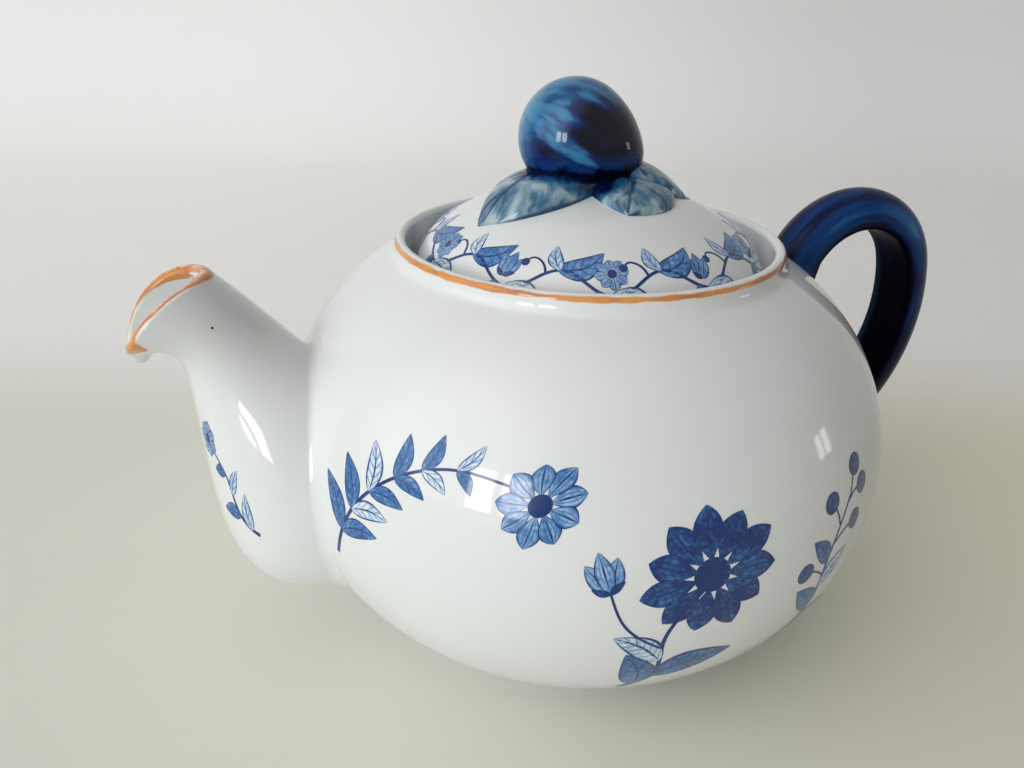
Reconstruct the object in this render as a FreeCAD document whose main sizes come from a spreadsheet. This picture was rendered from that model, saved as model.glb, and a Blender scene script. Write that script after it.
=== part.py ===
# A round-bellied teapot of glazed earthenware with a lift-off lid, as the pieces that a pottery
# makes and joins with slip. Millimetres, +Z up. The origin is the middle of the foot ring on the
# table. The spout points along -X and the handle along +X.
import FreeCAD
import Part
import Sketcher
import math
import os
import re

Vector = FreeCAD.Vector
Placement = FreeCAD.Placement
Rotation = FreeCAD.Rotation

# Driving dimensions, in millimetres and degrees.
SIZES = {
    # Belly, foot and lip
    "belly_radius": 77.0,
    "belly_height": 52.6,
    "wall": 4.2,
    "foot_radius": 44.0,
    "foot_height": 3.2,
    "foot_width": 5.5,
    "foot_recess": 3.0,
    "floor_thickness": 5.0,
    "rim_radius": 47.8,
    "rim_height": 104.2,
    "lip_thickness": 2.8,
    "lip_height": 2.2,
    "neck_round": 3.0,
    # Seat for the lid, sunk below the lip
    "seat_depth": 11.5,
    "ledge_width": 5.0,
    "ledge_thickness": 3.5,
    "collar_wall": 3.2,
    # Strainer holes in the wall behind the spout
    "strainer_hole": 5.0,
    "strainer_pitch": 8.5,
    # Spout stations: reach beyond the belly, rise above the rim, which the mouth stands level with,
    # lean of the section towards the pot, and half its depth and half its width
    "spout_root_reach": -26.0,
    "spout_root_rise": -56.2,
    "spout_root_angle": 2.0,
    "spout_root_depth": 30.0,
    "spout_root_width": 28.5,
    "spout_swell_reach": -3.0,
    "spout_swell_rise": -52.6,
    "spout_swell_angle": 27.5,
    "spout_swell_depth": 29.2,
    "spout_swell_width": 24.5,
    "spout_bend_reach": 5.4,
    "spout_bend_rise": -35.7,
    "spout_bend_angle": 47.0,
    "spout_bend_depth": 18.3,
    "spout_bend_width": 17.5,
    "spout_neck_reach": 9.5,
    "spout_neck_rise": -22.0,
    "spout_neck_angle": 60.5,
    "spout_neck_depth": 12.1,
    "spout_neck_width": 12.0,
    "spout_throat_reach": 16.3,
    "spout_throat_rise": -12.4,
    "spout_throat_angle": 46.1,
    "spout_throat_depth": 10.0,
    "spout_throat_width": 12.2,
    "spout_mouth_reach": 30.2,
    "spout_mouth_rise": -7.6,
    "spout_mouth_angle": 46.4,
    "spout_mouth_depth": 15.5,
    "spout_mouth_width": 12.6,
    "spout_wall": 3.2,
    # Pouring lip: a thick edge, cut to an arc that swells outward from its tip to its top
    "lip_wall": 2.8,
    "lip_cut_round": 22.3,
    "lip_cut_reach": 10.7,
    "lip_cut_drop": 23.8,
    # Drip bead under the pouring lip
    "bead_inset": 8.2,
    "bead_back": 9.2,
    "bead_radius": 2.8,
    "bead_width": 4.5,
    # Handle: a round rod, shaved flat inside, bent in three arcs and spread where it joins
    "handle_crown_reach": 33.6,
    "handle_crown_drop": 20.1,
    "handle_crown_round": 19.3,
    "handle_back_round": 44.3,
    "handle_tail_sink": 7.0,
    "handle_tail_rise": 11.0,
    "handle_tail_round": 25.9,
    "handle_rise_angle": 60.0,
    "handle_tail_angle": 17.2,
    "handle_root_length": 15.0,
    "handle_tail_length": 20.0,
    "handle_round": 7.6,
    "handle_flat": 2.6,
    "handle_corner": 1.6,
    "handle_flare_ratio": 1.47,
    # Lid
    "lid_play": 1.4,
    "lid_rise": 24.5,
    "lid_shoulder": 17.0,
    "lid_wall": 4.0,
    "lid_edge_round": 0.8,
    "flange_play": 0.8,
    "flange_depth": 11.0,
    "flange_thickness": 3.2,
    "vent_hole": 4.0,
    "vent_offset": 24.0,
    # Plum-shaped knob
    "fruit_length": 31.0,
    "fruit_blunt_radius": 13.6,
    "fruit_point_radius": 9.5,
    "fruit_side_round": 22.0,
    "fruit_tilt": 28.0,
    "fruit_turn_angle": -25.0,
    "fruit_shift": 4.4,
    "fruit_lift": 10.1,
    # Moulded leaves on the lid: puffed pads, highest at the crest, set aside from the lid's axis
    "leaf_puff": 24.0,
    "leaf_left_angle": -169.0,
    "leaf_left_heel": 4.0,
    "leaf_left_reach": 31.4,
    "leaf_left_width": 22.0,
    "leaf_left_aside": 0.5,
    "leaf_left_crest": 13.5,
    "leaf_left_thickness": 5.4,
    "leaf_front_angle": -119.0,
    "leaf_front_heel": 8.0,
    "leaf_front_reach": 19.2,
    "leaf_front_width": 20.5,
    "leaf_front_aside": 10.0,
    "leaf_front_crest": 6.0,
    "leaf_front_thickness": 3.4,
    "leaf_right_angle": -16.0,
    "leaf_right_heel": 3.0,
    "leaf_right_reach": 25.0,
    "leaf_right_width": 17.0,
    "leaf_right_aside": 1.0,
    "leaf_right_crest": 6.0,
    "leaf_right_thickness": 6.0,
}

# Sizes that follow from them, as formulas on the sheet.
SEAT_RADIUS = "(rim_radius - lip_thickness)"
SEAT_HEIGHT = "(rim_height - seat_depth)"
MOUTH_RADIUS = f"({SEAT_RADIUS} - ledge_width)"
LID_RADIUS = f"({SEAT_RADIUS} - lid_play)"
FLANGE_RADIUS = f"({MOUTH_RADIUS} - flange_play)"
LID_TOP = f"({SEAT_HEIGHT} + lid_rise)"
SHOULDER_RADIUS = f"({LID_RADIUS} - lid_shoulder)"
DOME_RADIUS = (f"(({SHOULDER_RADIUS} ^ 2 + lid_rise ^ 2 - lid_shoulder ^ 2)"
               " / (2 * (lid_rise - lid_shoulder)))")
SPOUT_AXIS_HEIGHT = "(rim_height + spout_root_rise)"

doc = FreeCAD.newDocument("teapot")
sheet = doc.addObject("Spreadsheet::Sheet", "Sizes")
for row, (alias, size) in enumerate(SIZES.items(), 1):
    sheet.set(f"A{row}", alias)
    sheet.set(f"B{row}", str(size))
    sheet.setAlias(f"B{row}", alias)
doc.recompute()


def cells(formula):
    """The formula with every driving dimension written as a cell of the sheet."""
    def cell(word):
        return "Sizes." + word.group() if word.group() in SIZES else word.group()
    return re.sub(r"[a-z_]+", cell, formula)


def value(formula):
    return float(sheet.evalExpression(cells(formula)))


def bind(thing, setting, formula):
    thing.setExpression(setting, cells(formula))


def new_body(name):
    body = doc.addObject("PartDesign::Body", name)
    body.Label = name
    return body


def new_sketch(body, name, role):
    """A sketch on one of the body's own origin planes."""
    sketch = body.newObject("Sketcher::SketchObject", name)
    plane = next(item for item in body.Origin.OriginFeatures if item.Role == role)
    sketch.AttachmentSupport = [(plane, "")]
    sketch.MapMode = "FlatFace"
    return sketch


def add_line(sketch, start, end):
    return sketch.addGeometry(Part.LineSegment(Vector(*start, 0), Vector(*end, 0)), False)


def add_arc(sketch, centre, start, end):
    """An arc that runs anticlockwise from start to end."""
    first = math.atan2(start[1] - centre[1], start[0] - centre[0])
    last = math.atan2(end[1] - centre[1], end[0] - centre[0])
    if last < first:
        last += 2 * math.pi
    circle = Part.Circle(Vector(*centre, 0), Vector(0, 0, 1), math.dist(centre, start))
    return sketch.addGeometry(Part.ArcOfCircle(circle, first, last), False)


def relate(sketch, kind, *where):
    sketch.addConstraint(Sketcher.Constraint(kind, *where))


def dimension(sketch, name, kind, where, formula):
    """A dimension of the sketch that follows the sheet."""
    index = sketch.addConstraint(Sketcher.Constraint(kind, *where, value(formula)))
    sketch.renameConstraint(index, name)
    bind(sketch, "Constraints." + name, formula)


def place_x(sketch, name, point, formula):
    dimension(sketch, name, "DistanceX", (-1, 1, *point), formula)


def place_y(sketch, name, point, formula):
    dimension(sketch, name, "DistanceY", (-1, 1, *point), formula)


def join(sketch, *points):
    """Joins the end of each piece of an outline to the start of the next."""
    for first, second in zip(points[::2], points[1::2]):
        relate(sketch, "Coincident", *first, *second)


def revolve(body, name, sketch):
    turned = body.newObject("PartDesign::Revolution", name)
    turned.Profile = sketch
    turned.ReferenceAxis = (sketch, ["V_Axis"])
    turned.Angle = 360
    return turned


def boolean(kind, name, base, tool):
    made = doc.addObject("Part::" + kind, name)
    made.Base = base
    made.Tool = tool
    made.Label = name
    return made


# Belly side: two arcs that meet upright at the widest line, a small hollow arc and the lip's side.
def side_centre(radius, height, edge):
    """Where the centre of a side arc lies: it is upright at edge and passes through the point."""
    rise = height - value("belly_height")
    return (edge ** 2 - radius ** 2 - rise ** 2) / (2 * (edge - radius))


def belly_side(sketch):
    belly = (value("belly_radius"), value("belly_height"))
    foot = (value("foot_radius"), value("foot_height"))
    hollow = (value("rim_radius + neck_round"), value("rim_height - lip_height"))
    low_centre = (side_centre(*foot, belly[0]), belly[1])
    high_centre = (side_centre(*hollow, value("belly_radius + neck_round")), belly[1])
    high_radius = belly[0] - high_centre[0]
    share = high_radius / math.dist(high_centre, hollow)
    neck = tuple(a + share * (b - a) for a, b in zip(high_centre, hollow))
    lip_foot = (value("rim_radius"), hollow[1])
    lip_top = (value("rim_radius"), value("rim_height - lip_thickness / 2"))
    low = add_arc(sketch, low_centre, foot, belly)
    high = add_arc(sketch, high_centre, belly, neck)
    bend = add_arc(sketch, hollow, lip_foot, neck)
    lip = add_line(sketch, lip_foot, lip_top)
    place_x(sketch, "foot_radius", (low, 1), "foot_radius")
    place_y(sketch, "foot_height", (low, 1), "foot_height")
    place_x(sketch, "belly_radius", (low, 2), "belly_radius")
    place_y(sketch, "belly_height", (low, 2), "belly_height")
    place_y(sketch, "low_centre", (low, 3), "belly_height")
    join(sketch, (low, 2), (high, 1))
    place_y(sketch, "high_centre", (high, 3), "belly_height")
    relate(sketch, "Tangent", high, 2, bend, 2)
    place_x(sketch, "bend_centre", (bend, 3), "rim_radius + neck_round")
    place_y(sketch, "bend_height", (bend, 3), "rim_height - lip_height")
    place_y(sketch, "lip_foot", (bend, 1), "rim_height - lip_height")
    dimension(sketch, "neck_round", "Radius", (bend,), "neck_round")
    join(sketch, (bend, 1), (lip, 1))
    relate(sketch, "Vertical", lip)
    place_y(sketch, "lip_top", (lip, 2), "rim_height - lip_thickness / 2")
    return low, high, lip, low_centre, high_centre


# Pot body: one turned shell with a foot ring, a half-round lip, and a collar and ledge for the lid.
pot_body = new_body("pot_body")
outline = new_sketch(pot_body, "pot_outline", "XZ_Plane")
low, high, lip, low_centre, high_centre = belly_side(outline)
foot_in = value("foot_radius - foot_width")
lip_mid = value("rim_height - lip_thickness / 2")
seat = (value(SEAT_RADIUS), value(SEAT_HEIGHT))
mouth_radius = value(MOUTH_RADIUS)
ledge_low = value(f"{SEAT_HEIGHT} - ledge_thickness")
collar = value(f"{SEAT_RADIUS} + collar_wall")
floor_low = value("foot_recess")
floor_top = value("foot_recess + floor_thickness")
inner_belly = (value("belly_radius - wall"), value("belly_height"))
low_radius = inner_belly[0] - low_centre[0]
high_radius = inner_belly[0] - high_centre[0]
collar_top = (collar, inner_belly[1] + math.sqrt(high_radius ** 2 - (collar - high_centre[0]) ** 2))
floor_drop = inner_belly[1] - floor_top
floor_edge = (low_centre[0] + math.sqrt(low_radius ** 2 - floor_drop ** 2), floor_top)

under = add_line(outline, (0, floor_low), (foot_in, floor_low))
foot_inside = add_line(outline, (foot_in, floor_low), (foot_in, 0))
foot_face = add_line(outline, (foot_in, 0), (value("foot_radius"), 0))
foot_side = add_line(outline, (value("foot_radius"), 0), (value("foot_radius"), value("foot_height")))
lip_top = add_arc(outline, (value("rim_radius - lip_thickness / 2"), lip_mid),
                  (value("rim_radius"), lip_mid), (seat[0], lip_mid))
gallery = add_line(outline, (seat[0], lip_mid), seat)
ledge = add_line(outline, seat, (mouth_radius, seat[1]))
mouth = add_line(outline, (mouth_radius, seat[1]), (mouth_radius, ledge_low))
ledge_under = add_line(outline, (mouth_radius, ledge_low), (collar, ledge_low))
collar_side = add_line(outline, (collar, ledge_low), collar_top)
inner_high = add_arc(outline, high_centre, inner_belly, collar_top)
inner_low = add_arc(outline, low_centre, floor_edge, inner_belly)
floor = add_line(outline, floor_edge, (0, floor_top))
axis = add_line(outline, (0, floor_top), (0, floor_low))

join(outline, (under, 2), (foot_inside, 1), (foot_inside, 2), (foot_face, 1))
join(outline, (foot_face, 2), (foot_side, 1), (foot_side, 2), (low, 1))
join(outline, (lip, 2), (lip_top, 1), (lip_top, 2), (gallery, 1), (gallery, 2), (ledge, 1))
join(outline, (ledge, 2), (mouth, 1), (mouth, 2), (ledge_under, 1), (ledge_under, 2), (collar_side, 1))
join(outline, (collar_side, 2), (inner_high, 2), (inner_high, 1), (inner_low, 2))
join(outline, (inner_low, 1), (floor, 1), (floor, 2), (axis, 1), (axis, 2), (under, 1))
relate(outline, "PointOnObject", under, 1, -2)
relate(outline, "PointOnObject", floor, 2, -2)
relate(outline, "PointOnObject", foot_face, 1, -1)
for level in (under, foot_face, ledge, ledge_under, floor):
    relate(outline, "Horizontal", level)
for upright in (foot_inside, foot_side, gallery, mouth, collar_side):
    relate(outline, "Vertical", upright)
place_y(outline, "foot_recess", (under, 1), "foot_recess")
place_x(outline, "foot_inside", (foot_face, 1), "foot_radius - foot_width")
place_y(outline, "lip_end", (lip_top, 2), "rim_height - lip_thickness / 2")
place_y(outline, "lip_centre", (lip_top, 3), "rim_height - lip_thickness / 2")
dimension(outline, "lip_round", "Radius", (lip_top,), "lip_thickness / 2")
place_y(outline, "seat_height", (gallery, 2), SEAT_HEIGHT)
place_x(outline, "mouth_radius", (mouth, 1), MOUTH_RADIUS)
place_y(outline, "ledge_low", (mouth, 2), f"{SEAT_HEIGHT} - ledge_thickness")
place_x(outline, "collar", (collar_side, 1), f"{SEAT_RADIUS} + collar_wall")
join(outline, (inner_high, 3), (high, 3), (inner_low, 3), (low, 3))
place_x(outline, "inner_belly", (inner_high, 1), "belly_radius - wall")
place_y(outline, "inner_height", (inner_high, 1), "belly_height")
place_y(outline, "floor_top", (floor, 1), "foot_recess + floor_thickness")
revolve(pot_body, "pot_shell", outline)


def strainer_ring(name, distance, count):
    """A round hole through the wall behind the spout, repeated round the spout's axis."""
    sketch = new_sketch(pot_body, name + "_sketch", "YZ_Plane")
    bind(sketch, "AttachmentOffset.Base.y", SPOUT_AXIS_HEIGHT)
    middle = Vector(0, value(distance), 0)
    hole = sketch.addGeometry(Part.Circle(middle, Vector(0, 0, 1), value("strainer_hole / 2")), False)
    dimension(sketch, "hole_radius", "Radius", (hole,), "strainer_hole / 2")
    if count == 1:
        relate(sketch, "Coincident", hole, 3, -1, 1)
    else:
        relate(sketch, "PointOnObject", hole, 3, -2)
        place_y(sketch, "hole_distance", (hole, 3), distance)
    pocket = pot_body.newObject("PartDesign::Pocket", name)
    pocket.Profile = sketch
    pocket.Type = "ThroughAll"
    if count > 1:
        doc.recompute()
        pattern = pot_body.newObject("PartDesign::PolarPattern", name + "_pattern")
        pattern.Originals = [pocket]
        pattern.Axis = (sketch, ["N_Axis"])
        pattern.Angle = 360
        pattern.Occurrences = count
        pot_body.Tip = pattern


doc.recompute()
shell_volume = pot_body.Shape.Volume
strainer_ring("strainer_middle", "0", 1)
strainer_ring("strainer_inner", "strainer_pitch", 6)
strainer_ring("strainer_outer", "2 * strainer_pitch", 12)
doc.recompute()
if pot_body.Shape.Volume >= shell_volume:
    raise RuntimeError("the strainer holes cut nothing")

# Belly form: the same side filled to the axis. It trims the spout and the handle to the belly.
belly_form = new_body("belly_form")
form = new_sketch(belly_form, "form_outline", "XZ_Plane")
low, high, lip, low_centre, high_centre = belly_side(form)
base = add_line(form, (0, value("foot_height")), (value("foot_radius"), value("foot_height")))
top = add_line(form, (value("rim_radius"), lip_mid), (0, lip_mid))
middle = add_line(form, (0, lip_mid), (0, value("foot_height")))
join(form, (base, 2), (low, 1), (lip, 2), (top, 1), (top, 2), (middle, 1), (middle, 2), (base, 1))
relate(form, "Horizontal", base)
relate(form, "Horizontal", top)
relate(form, "PointOnObject", base, 1, -2)
relate(form, "PointOnObject", top, 2, -2)
revolve(belly_form, "belly_solid", form)


def lie_across(sketch, along, up, lean):
    """Lays a section across a tube that runs in the XZ plane."""
    sketch.AttachmentOffset = Placement(Vector(0, value(up), value(along)),
                                        Rotation(Vector(1, 0, 0), value(lean)))
    bind(sketch, "AttachmentOffset.Base.y", up)
    bind(sketch, "AttachmentOffset.Base.z", along)
    bind(sketch, "AttachmentOffset.Rotation.Angle", f"({lean}) * 1 deg")


def oval_section(body, name, along, up, lean, depth, width):
    """An oval section. Depth is half its size in the XZ plane, width half its size across it."""
    sketch = new_sketch(body, name, "YZ_Plane")
    lie_across(sketch, along, up, lean)
    half_depth, half_width = Vector(0, value(depth), 0), Vector(value(width), 0, 0)
    deep = half_depth.Length >= half_width.Length
    longer, shorter = (half_depth, half_width) if deep else (half_width, half_depth)
    oval = sketch.addGeometry(Part.Ellipse(longer, shorter, Vector(0, 0, 0)), False)
    sketch.exposeInternalGeometry(oval)
    relate(sketch, "Coincident", oval, 3, -1, 1)
    relate(sketch, "Vertical" if deep else "Horizontal", oval + 1)
    dimension(sketch, "long_axis", "Distance", (oval + 1,), f"2 * ({depth if deep else width})")
    dimension(sketch, "short_axis", "Distance", (oval + 2,), f"2 * ({width if deep else depth})")
    return sketch


# Spout: a skin through six ovals, with a drip bead under its lip, bored through along its length.
# The mouth is cut to an arc, which gives the pouring lip.
spout_form = new_body("spout_form")
STATIONS = ["root", "swell", "bend", "neck", "throat", "mouth"]


def spout_sections(kind, walls):
    ovals = []
    for station, wall in zip(STATIONS, walls):
        size = f"spout_{station}_"
        ovals.append(oval_section(spout_form, kind + station, f"-(belly_radius + {size}reach)",
                                  f"rim_height + {size}rise", size + "angle",
                                  f"{size}depth - {wall}", f"{size}width - {wall}"))
    return ovals


outside = spout_sections("outside_", ["0"] * len(STATIONS))
skin = spout_form.newObject("PartDesign::AdditiveLoft", "spout_skin")
skin.Profile = outside[0]
skin.Sections = outside[1:]
doc.recompute()
bead = spout_form.newObject("PartDesign::AdditiveEllipsoid", "drip_bead")
bead.AttachmentSupport = [(outside[-1], "")]
bead.MapMode = "ObjectXY"
bind(bead, "AttachmentOffset.Base.y", "bead_inset - spout_mouth_depth")
bind(bead, "AttachmentOffset.Base.z", "bead_back")
bind(bead, "Radius1", "bead_radius")
bind(bead, "Radius2", "bead_width")
bind(bead, "Radius3", "bead_radius")
doc.recompute()
inside = spout_sections("bore_", ["spout_wall"] * 5 + ["lip_wall"])
bore = spout_form.newObject("PartDesign::SubtractiveLoft", "spout_bore")
bore.Profile = inside[0]
bore.Sections = inside[1:]
doc.recompute()
uncut_volume = spout_form.Shape.Volume
lip_sketch = new_sketch(spout_form, "lip_cut_sketch", "XZ_Plane")
cut_centre = (-value("belly_radius + lip_cut_reach"), value("rim_height - lip_cut_drop"))
cut_round = value("lip_cut_round")
clear = value("lip_cut_round + spout_mouth_depth")
over, left = (cut_centre[0], cut_centre[1] + cut_round), (cut_centre[0] - cut_round, cut_centre[1])
cut_arc = add_arc(lip_sketch, cut_centre, over, left)
corners = [left, (cut_centre[0] - clear, left[1]), (cut_centre[0] - clear, cut_centre[1] + clear),
           (over[0], cut_centre[1] + clear), over]
sides = [add_line(lip_sketch, *pair) for pair in zip(corners, corners[1:])]
low_edge, far_edge, high_edge, near_edge = sides
join(lip_sketch, (cut_arc, 2), (low_edge, 1), (low_edge, 2), (far_edge, 1), (far_edge, 2), (high_edge, 1))
join(lip_sketch, (high_edge, 2), (near_edge, 1), (near_edge, 2), (cut_arc, 1))
for level in (low_edge, high_edge):
    relate(lip_sketch, "Horizontal", level)
for upright in (far_edge, near_edge):
    relate(lip_sketch, "Vertical", upright)
dimension(lip_sketch, "cut_reach", "DistanceX", (cut_arc, 3, -1, 1), "belly_radius + lip_cut_reach")
place_y(lip_sketch, "cut_height", (cut_arc, 3), "rim_height - lip_cut_drop")
dimension(lip_sketch, "cut_round", "Radius", (cut_arc,), "lip_cut_round")
dimension(lip_sketch, "start_reach", "DistanceX", (cut_arc, 1, -1, 1), "belly_radius + lip_cut_reach")
place_y(lip_sketch, "end_height", (cut_arc, 2), "rim_height - lip_cut_drop")
dimension(lip_sketch, "clear_reach", "DistanceX", (far_edge, 1, low_edge, 1), "spout_mouth_depth")
dimension(lip_sketch, "clear_height", "DistanceY", (near_edge, 2, near_edge, 1), "spout_mouth_depth")
lip_cut = spout_form.newObject("PartDesign::Pocket", "lip_cut")
lip_cut.Profile = lip_sketch
lip_cut.Midplane = True
bind(lip_cut, "Length", "4 * spout_mouth_width")
doc.recompute()
if spout_form.Shape.Volume >= uncut_volume:
    raise RuntimeError("the lip cut removes nothing")
spout = boolean("Cut", "spout", spout_form, belly_form)

# Handle: a rod swept along three tangent arcs, whose two straight ends spread towards the belly.
handle_form = new_body("handle_form")
path = new_sketch(handle_form, "handle_path", "XZ_Plane")
crown = (value("rim_radius + handle_crown_reach"), value("rim_height - handle_crown_drop"))
tail = (value("belly_radius - handle_tail_sink"), value("belly_height + handle_tail_rise"))
crown_round, tail_round = value("handle_crown_round"), value("handle_tail_round")
back_round = value("handle_back_round")
gap = math.dist(crown, tail)
to_crown, to_tail = back_round - crown_round, back_round - tail_round
along = (to_tail ** 2 - to_crown ** 2 + gap ** 2) / (2 * gap)
aside = math.sqrt(to_tail ** 2 - along ** 2)
course = ((crown[0] - tail[0]) / gap, (crown[1] - tail[1]) / gap)
back = (tail[0] + along * course[0] - aside * course[1], tail[1] + along * course[1] + aside * course[0])


def on_arc(centre, radius, angle):
    return (centre[0] + radius * math.cos(angle), centre[1] + radius * math.sin(angle))


def bearing(start, end):
    return math.atan2(end[1] - start[1], end[0] - start[0])


rise = math.radians(value("handle_rise_angle"))
drop = math.radians(value("handle_tail_angle"))
crown_start = on_arc(crown, crown_round, rise + math.pi / 2)
crown_end = on_arc(crown, crown_round, bearing(back, crown))
tail_start = on_arc(tail, tail_round, bearing(back, tail))
tail_end = on_arc(tail, tail_round, drop - math.pi / 2)
crown_arc = add_arc(path, crown, crown_end, crown_start)
back_arc = add_arc(path, back, tail_start, crown_end)
tail_arc = add_arc(path, tail, tail_end, tail_start)
place_x(path, "crown_reach", (crown_arc, 3), "rim_radius + handle_crown_reach")
place_y(path, "crown_height", (crown_arc, 3), "rim_height - handle_crown_drop")
dimension(path, "crown_round", "Radius", (crown_arc,), "handle_crown_round")
place_x(path, "tail_reach", (tail_arc, 3), "belly_radius - handle_tail_sink")
place_y(path, "tail_height", (tail_arc, 3), "belly_height + handle_tail_rise")
dimension(path, "tail_round", "Radius", (tail_arc,), "handle_tail_round")
dimension(path, "back_round", "Radius", (back_arc,), "handle_back_round")
relate(path, "Tangent", crown_arc, 1, back_arc, 2)
relate(path, "Tangent", back_arc, 1, tail_arc, 2)
RISE_SIN, RISE_COS = "sin(handle_rise_angle * 1 deg)", "cos(handle_rise_angle * 1 deg)"
TAIL_SIN, TAIL_COS = "sin(handle_tail_angle * 1 deg)", "cos(handle_tail_angle * 1 deg)"
CROWN_START = (f"(rim_radius + handle_crown_reach - handle_crown_round * {RISE_SIN})",
               f"(rim_height - handle_crown_drop + handle_crown_round * {RISE_COS})")
TAIL_END = (f"(belly_radius - handle_tail_sink + handle_tail_round * {TAIL_SIN})",
            f"(belly_height + handle_tail_rise - handle_tail_round * {TAIL_COS})")
place_x(path, "crown_start_x", (crown_arc, 2), CROWN_START[0])
place_x(path, "tail_end_x", (tail_arc, 1), TAIL_END[0])


def rod_section(name, along, up, lean, spread):
    """The rod's round section with its flat, which faces the belly, and the flat's rounded corners."""
    sketch = new_sketch(handle_form, name, "YZ_Plane")
    lie_across(sketch, along, up, lean)
    outer, flat = value(f"handle_round * {spread}"), value(f"handle_flat * {spread}")
    corner = value(f"handle_corner * {spread}")
    aside = math.sqrt((outer - corner) ** 2 - (flat - corner) ** 2)
    ends = []
    for turn in (1, -1):
        centre = (turn * aside, corner - flat)
        touch = on_arc((0, 0), outer, bearing((0, 0), centre))
        foot = (turn * aside, -flat)
        ends.append((centre, touch, foot))
    (right, right_touch, right_foot), (left, left_touch, left_foot) = ends
    round_side = add_arc(sketch, (0, 0), right_touch, left_touch)
    right_corner = add_arc(sketch, right, right_foot, right_touch)
    left_corner = add_arc(sketch, left, left_touch, left_foot)
    flat_side = add_line(sketch, left_foot, right_foot)
    relate(sketch, "Coincident", round_side, 3, -1, 1)
    relate(sketch, "Tangent", right_corner, 2, round_side, 1)
    relate(sketch, "Tangent", left_corner, 1, round_side, 2)
    relate(sketch, "Tangent", right_corner, 1, flat_side, 2)
    relate(sketch, "Tangent", left_corner, 2, flat_side, 1)
    relate(sketch, "Horizontal", flat_side)
    dimension(sketch, "round", "Radius", (round_side,), f"handle_round * {spread}")
    dimension(sketch, "right_corner", "Radius", (right_corner,), f"handle_corner * {spread}")
    dimension(sketch, "left_corner", "Radius", (left_corner,), f"handle_corner * {spread}")
    dimension(sketch, "flat", "DistanceY", (flat_side, 1, -1, 1), f"handle_flat * {spread}")
    return sketch


crown_section = rod_section("crown_section", *CROWN_START, "-handle_rise_angle", "1")
rod = handle_form.newObject("PartDesign::AdditivePipe", "handle_rod")
rod.Profile = crown_section
rod.Spine = path
root_section = rod_section("root_section", f"{CROWN_START[0]} - handle_root_length * {RISE_COS}",
                           f"{CROWN_START[1]} - handle_root_length * {RISE_SIN}",
                           "-handle_rise_angle", "handle_flare_ratio")
root = handle_form.newObject("PartDesign::AdditiveLoft", "handle_root")
root.Profile = root_section
root.Sections = [rod_section("root_end", *CROWN_START, "-handle_rise_angle", "1")]
tail_section = rod_section("tail_section", *TAIL_END, "180 - handle_tail_angle", "1")
spur = handle_form.newObject("PartDesign::AdditiveLoft", "handle_spur")
spur.Profile = tail_section
spur.Sections = [rod_section("spur_section", f"{TAIL_END[0]} - handle_tail_length * {TAIL_COS}",
                             f"{TAIL_END[1]} - handle_tail_length * {TAIL_SIN}",
                             "180 - handle_tail_angle", "handle_flare_ratio")]
doc.recompute()
handle = boolean("Cut", "handle", handle_form, belly_form)

# Lid: a turned dome that drops into the seat, with a collar under it and a vent hole at the back.
lid = new_body("lid")
outline = new_sketch(lid, "lid_outline", "XZ_Plane")
lid_radius, flange = value(LID_RADIUS), value(FLANGE_RADIUS)
flange_in = value(f"{FLANGE_RADIUS} - flange_thickness")
flange_low = value(f"{SEAT_HEIGHT} - flange_depth")
lid_top = value(LID_TOP)
dome_radius = value(DOME_RADIUS)
centre = (0, lid_top - dome_radius)
shoulder_at = (value(SHOULDER_RADIUS), seat[1])
shoulder_top = on_arc(centre, dome_radius, bearing(centre, shoulder_at))
inner_radius = dome_radius - value("lid_wall")
inner_edge = (flange_in, centre[1] + math.sqrt(inner_radius ** 2 - flange_in ** 2))
inner_top = (0, centre[1] + inner_radius)
dome = add_arc(outline, centre, shoulder_top, (0, lid_top))
shoulder = add_arc(outline, shoulder_at, (lid_radius, seat[1]), shoulder_top)
rest = add_line(outline, (flange, seat[1]), (lid_radius, seat[1]))
flange_side = add_line(outline, (flange, flange_low), (flange, seat[1]))
flange_end = add_line(outline, (flange_in, flange_low), (flange, flange_low))
flange_inside = add_line(outline, inner_edge, (flange_in, flange_low))
vault = add_arc(outline, centre, inner_edge, inner_top)
axis = add_line(outline, (0, lid_top), inner_top)
join(outline, (shoulder, 1), (rest, 2), (flange_side, 2), (rest, 1))
join(outline, (flange_end, 2), (flange_side, 1), (flange_inside, 2), (flange_end, 1))
join(outline, (vault, 1), (flange_inside, 1), (dome, 2), (axis, 1), (axis, 2), (vault, 2))
join(outline, (dome, 3), (vault, 3))
relate(outline, "Tangent", dome, 1, shoulder, 2)
relate(outline, "PointOnObject", dome, 3, -2)
relate(outline, "PointOnObject", dome, 2, -2)
relate(outline, "PointOnObject", vault, 2, -2)
for level in (rest, flange_end):
    relate(outline, "Horizontal", level)
for upright in (flange_side, flange_inside):
    relate(outline, "Vertical", upright)
place_x(outline, "lid_radius", (shoulder, 1), LID_RADIUS)
place_y(outline, "seat_height", (shoulder, 1), SEAT_HEIGHT)
place_y(outline, "shoulder_height", (shoulder, 3), SEAT_HEIGHT)
dimension(outline, "shoulder", "Radius", (shoulder,), "lid_shoulder")
place_y(outline, "lid_top", (dome, 2), LID_TOP)
place_y(outline, "vault_top", (vault, 2), f"{LID_TOP} - lid_wall")
place_x(outline, "flange_radius", (flange_side, 1), FLANGE_RADIUS)
place_y(outline, "flange_low", (flange_side, 1), f"{SEAT_HEIGHT} - flange_depth")
place_x(outline, "flange_inside", (flange_end, 1), f"{FLANGE_RADIUS} - flange_thickness")
lid_shell = revolve(lid, "lid_shell", outline)
doc.recompute()
rounded = lid.newObject("PartDesign::Fillet", "lid_edge_rounding")
corners = []
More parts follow.
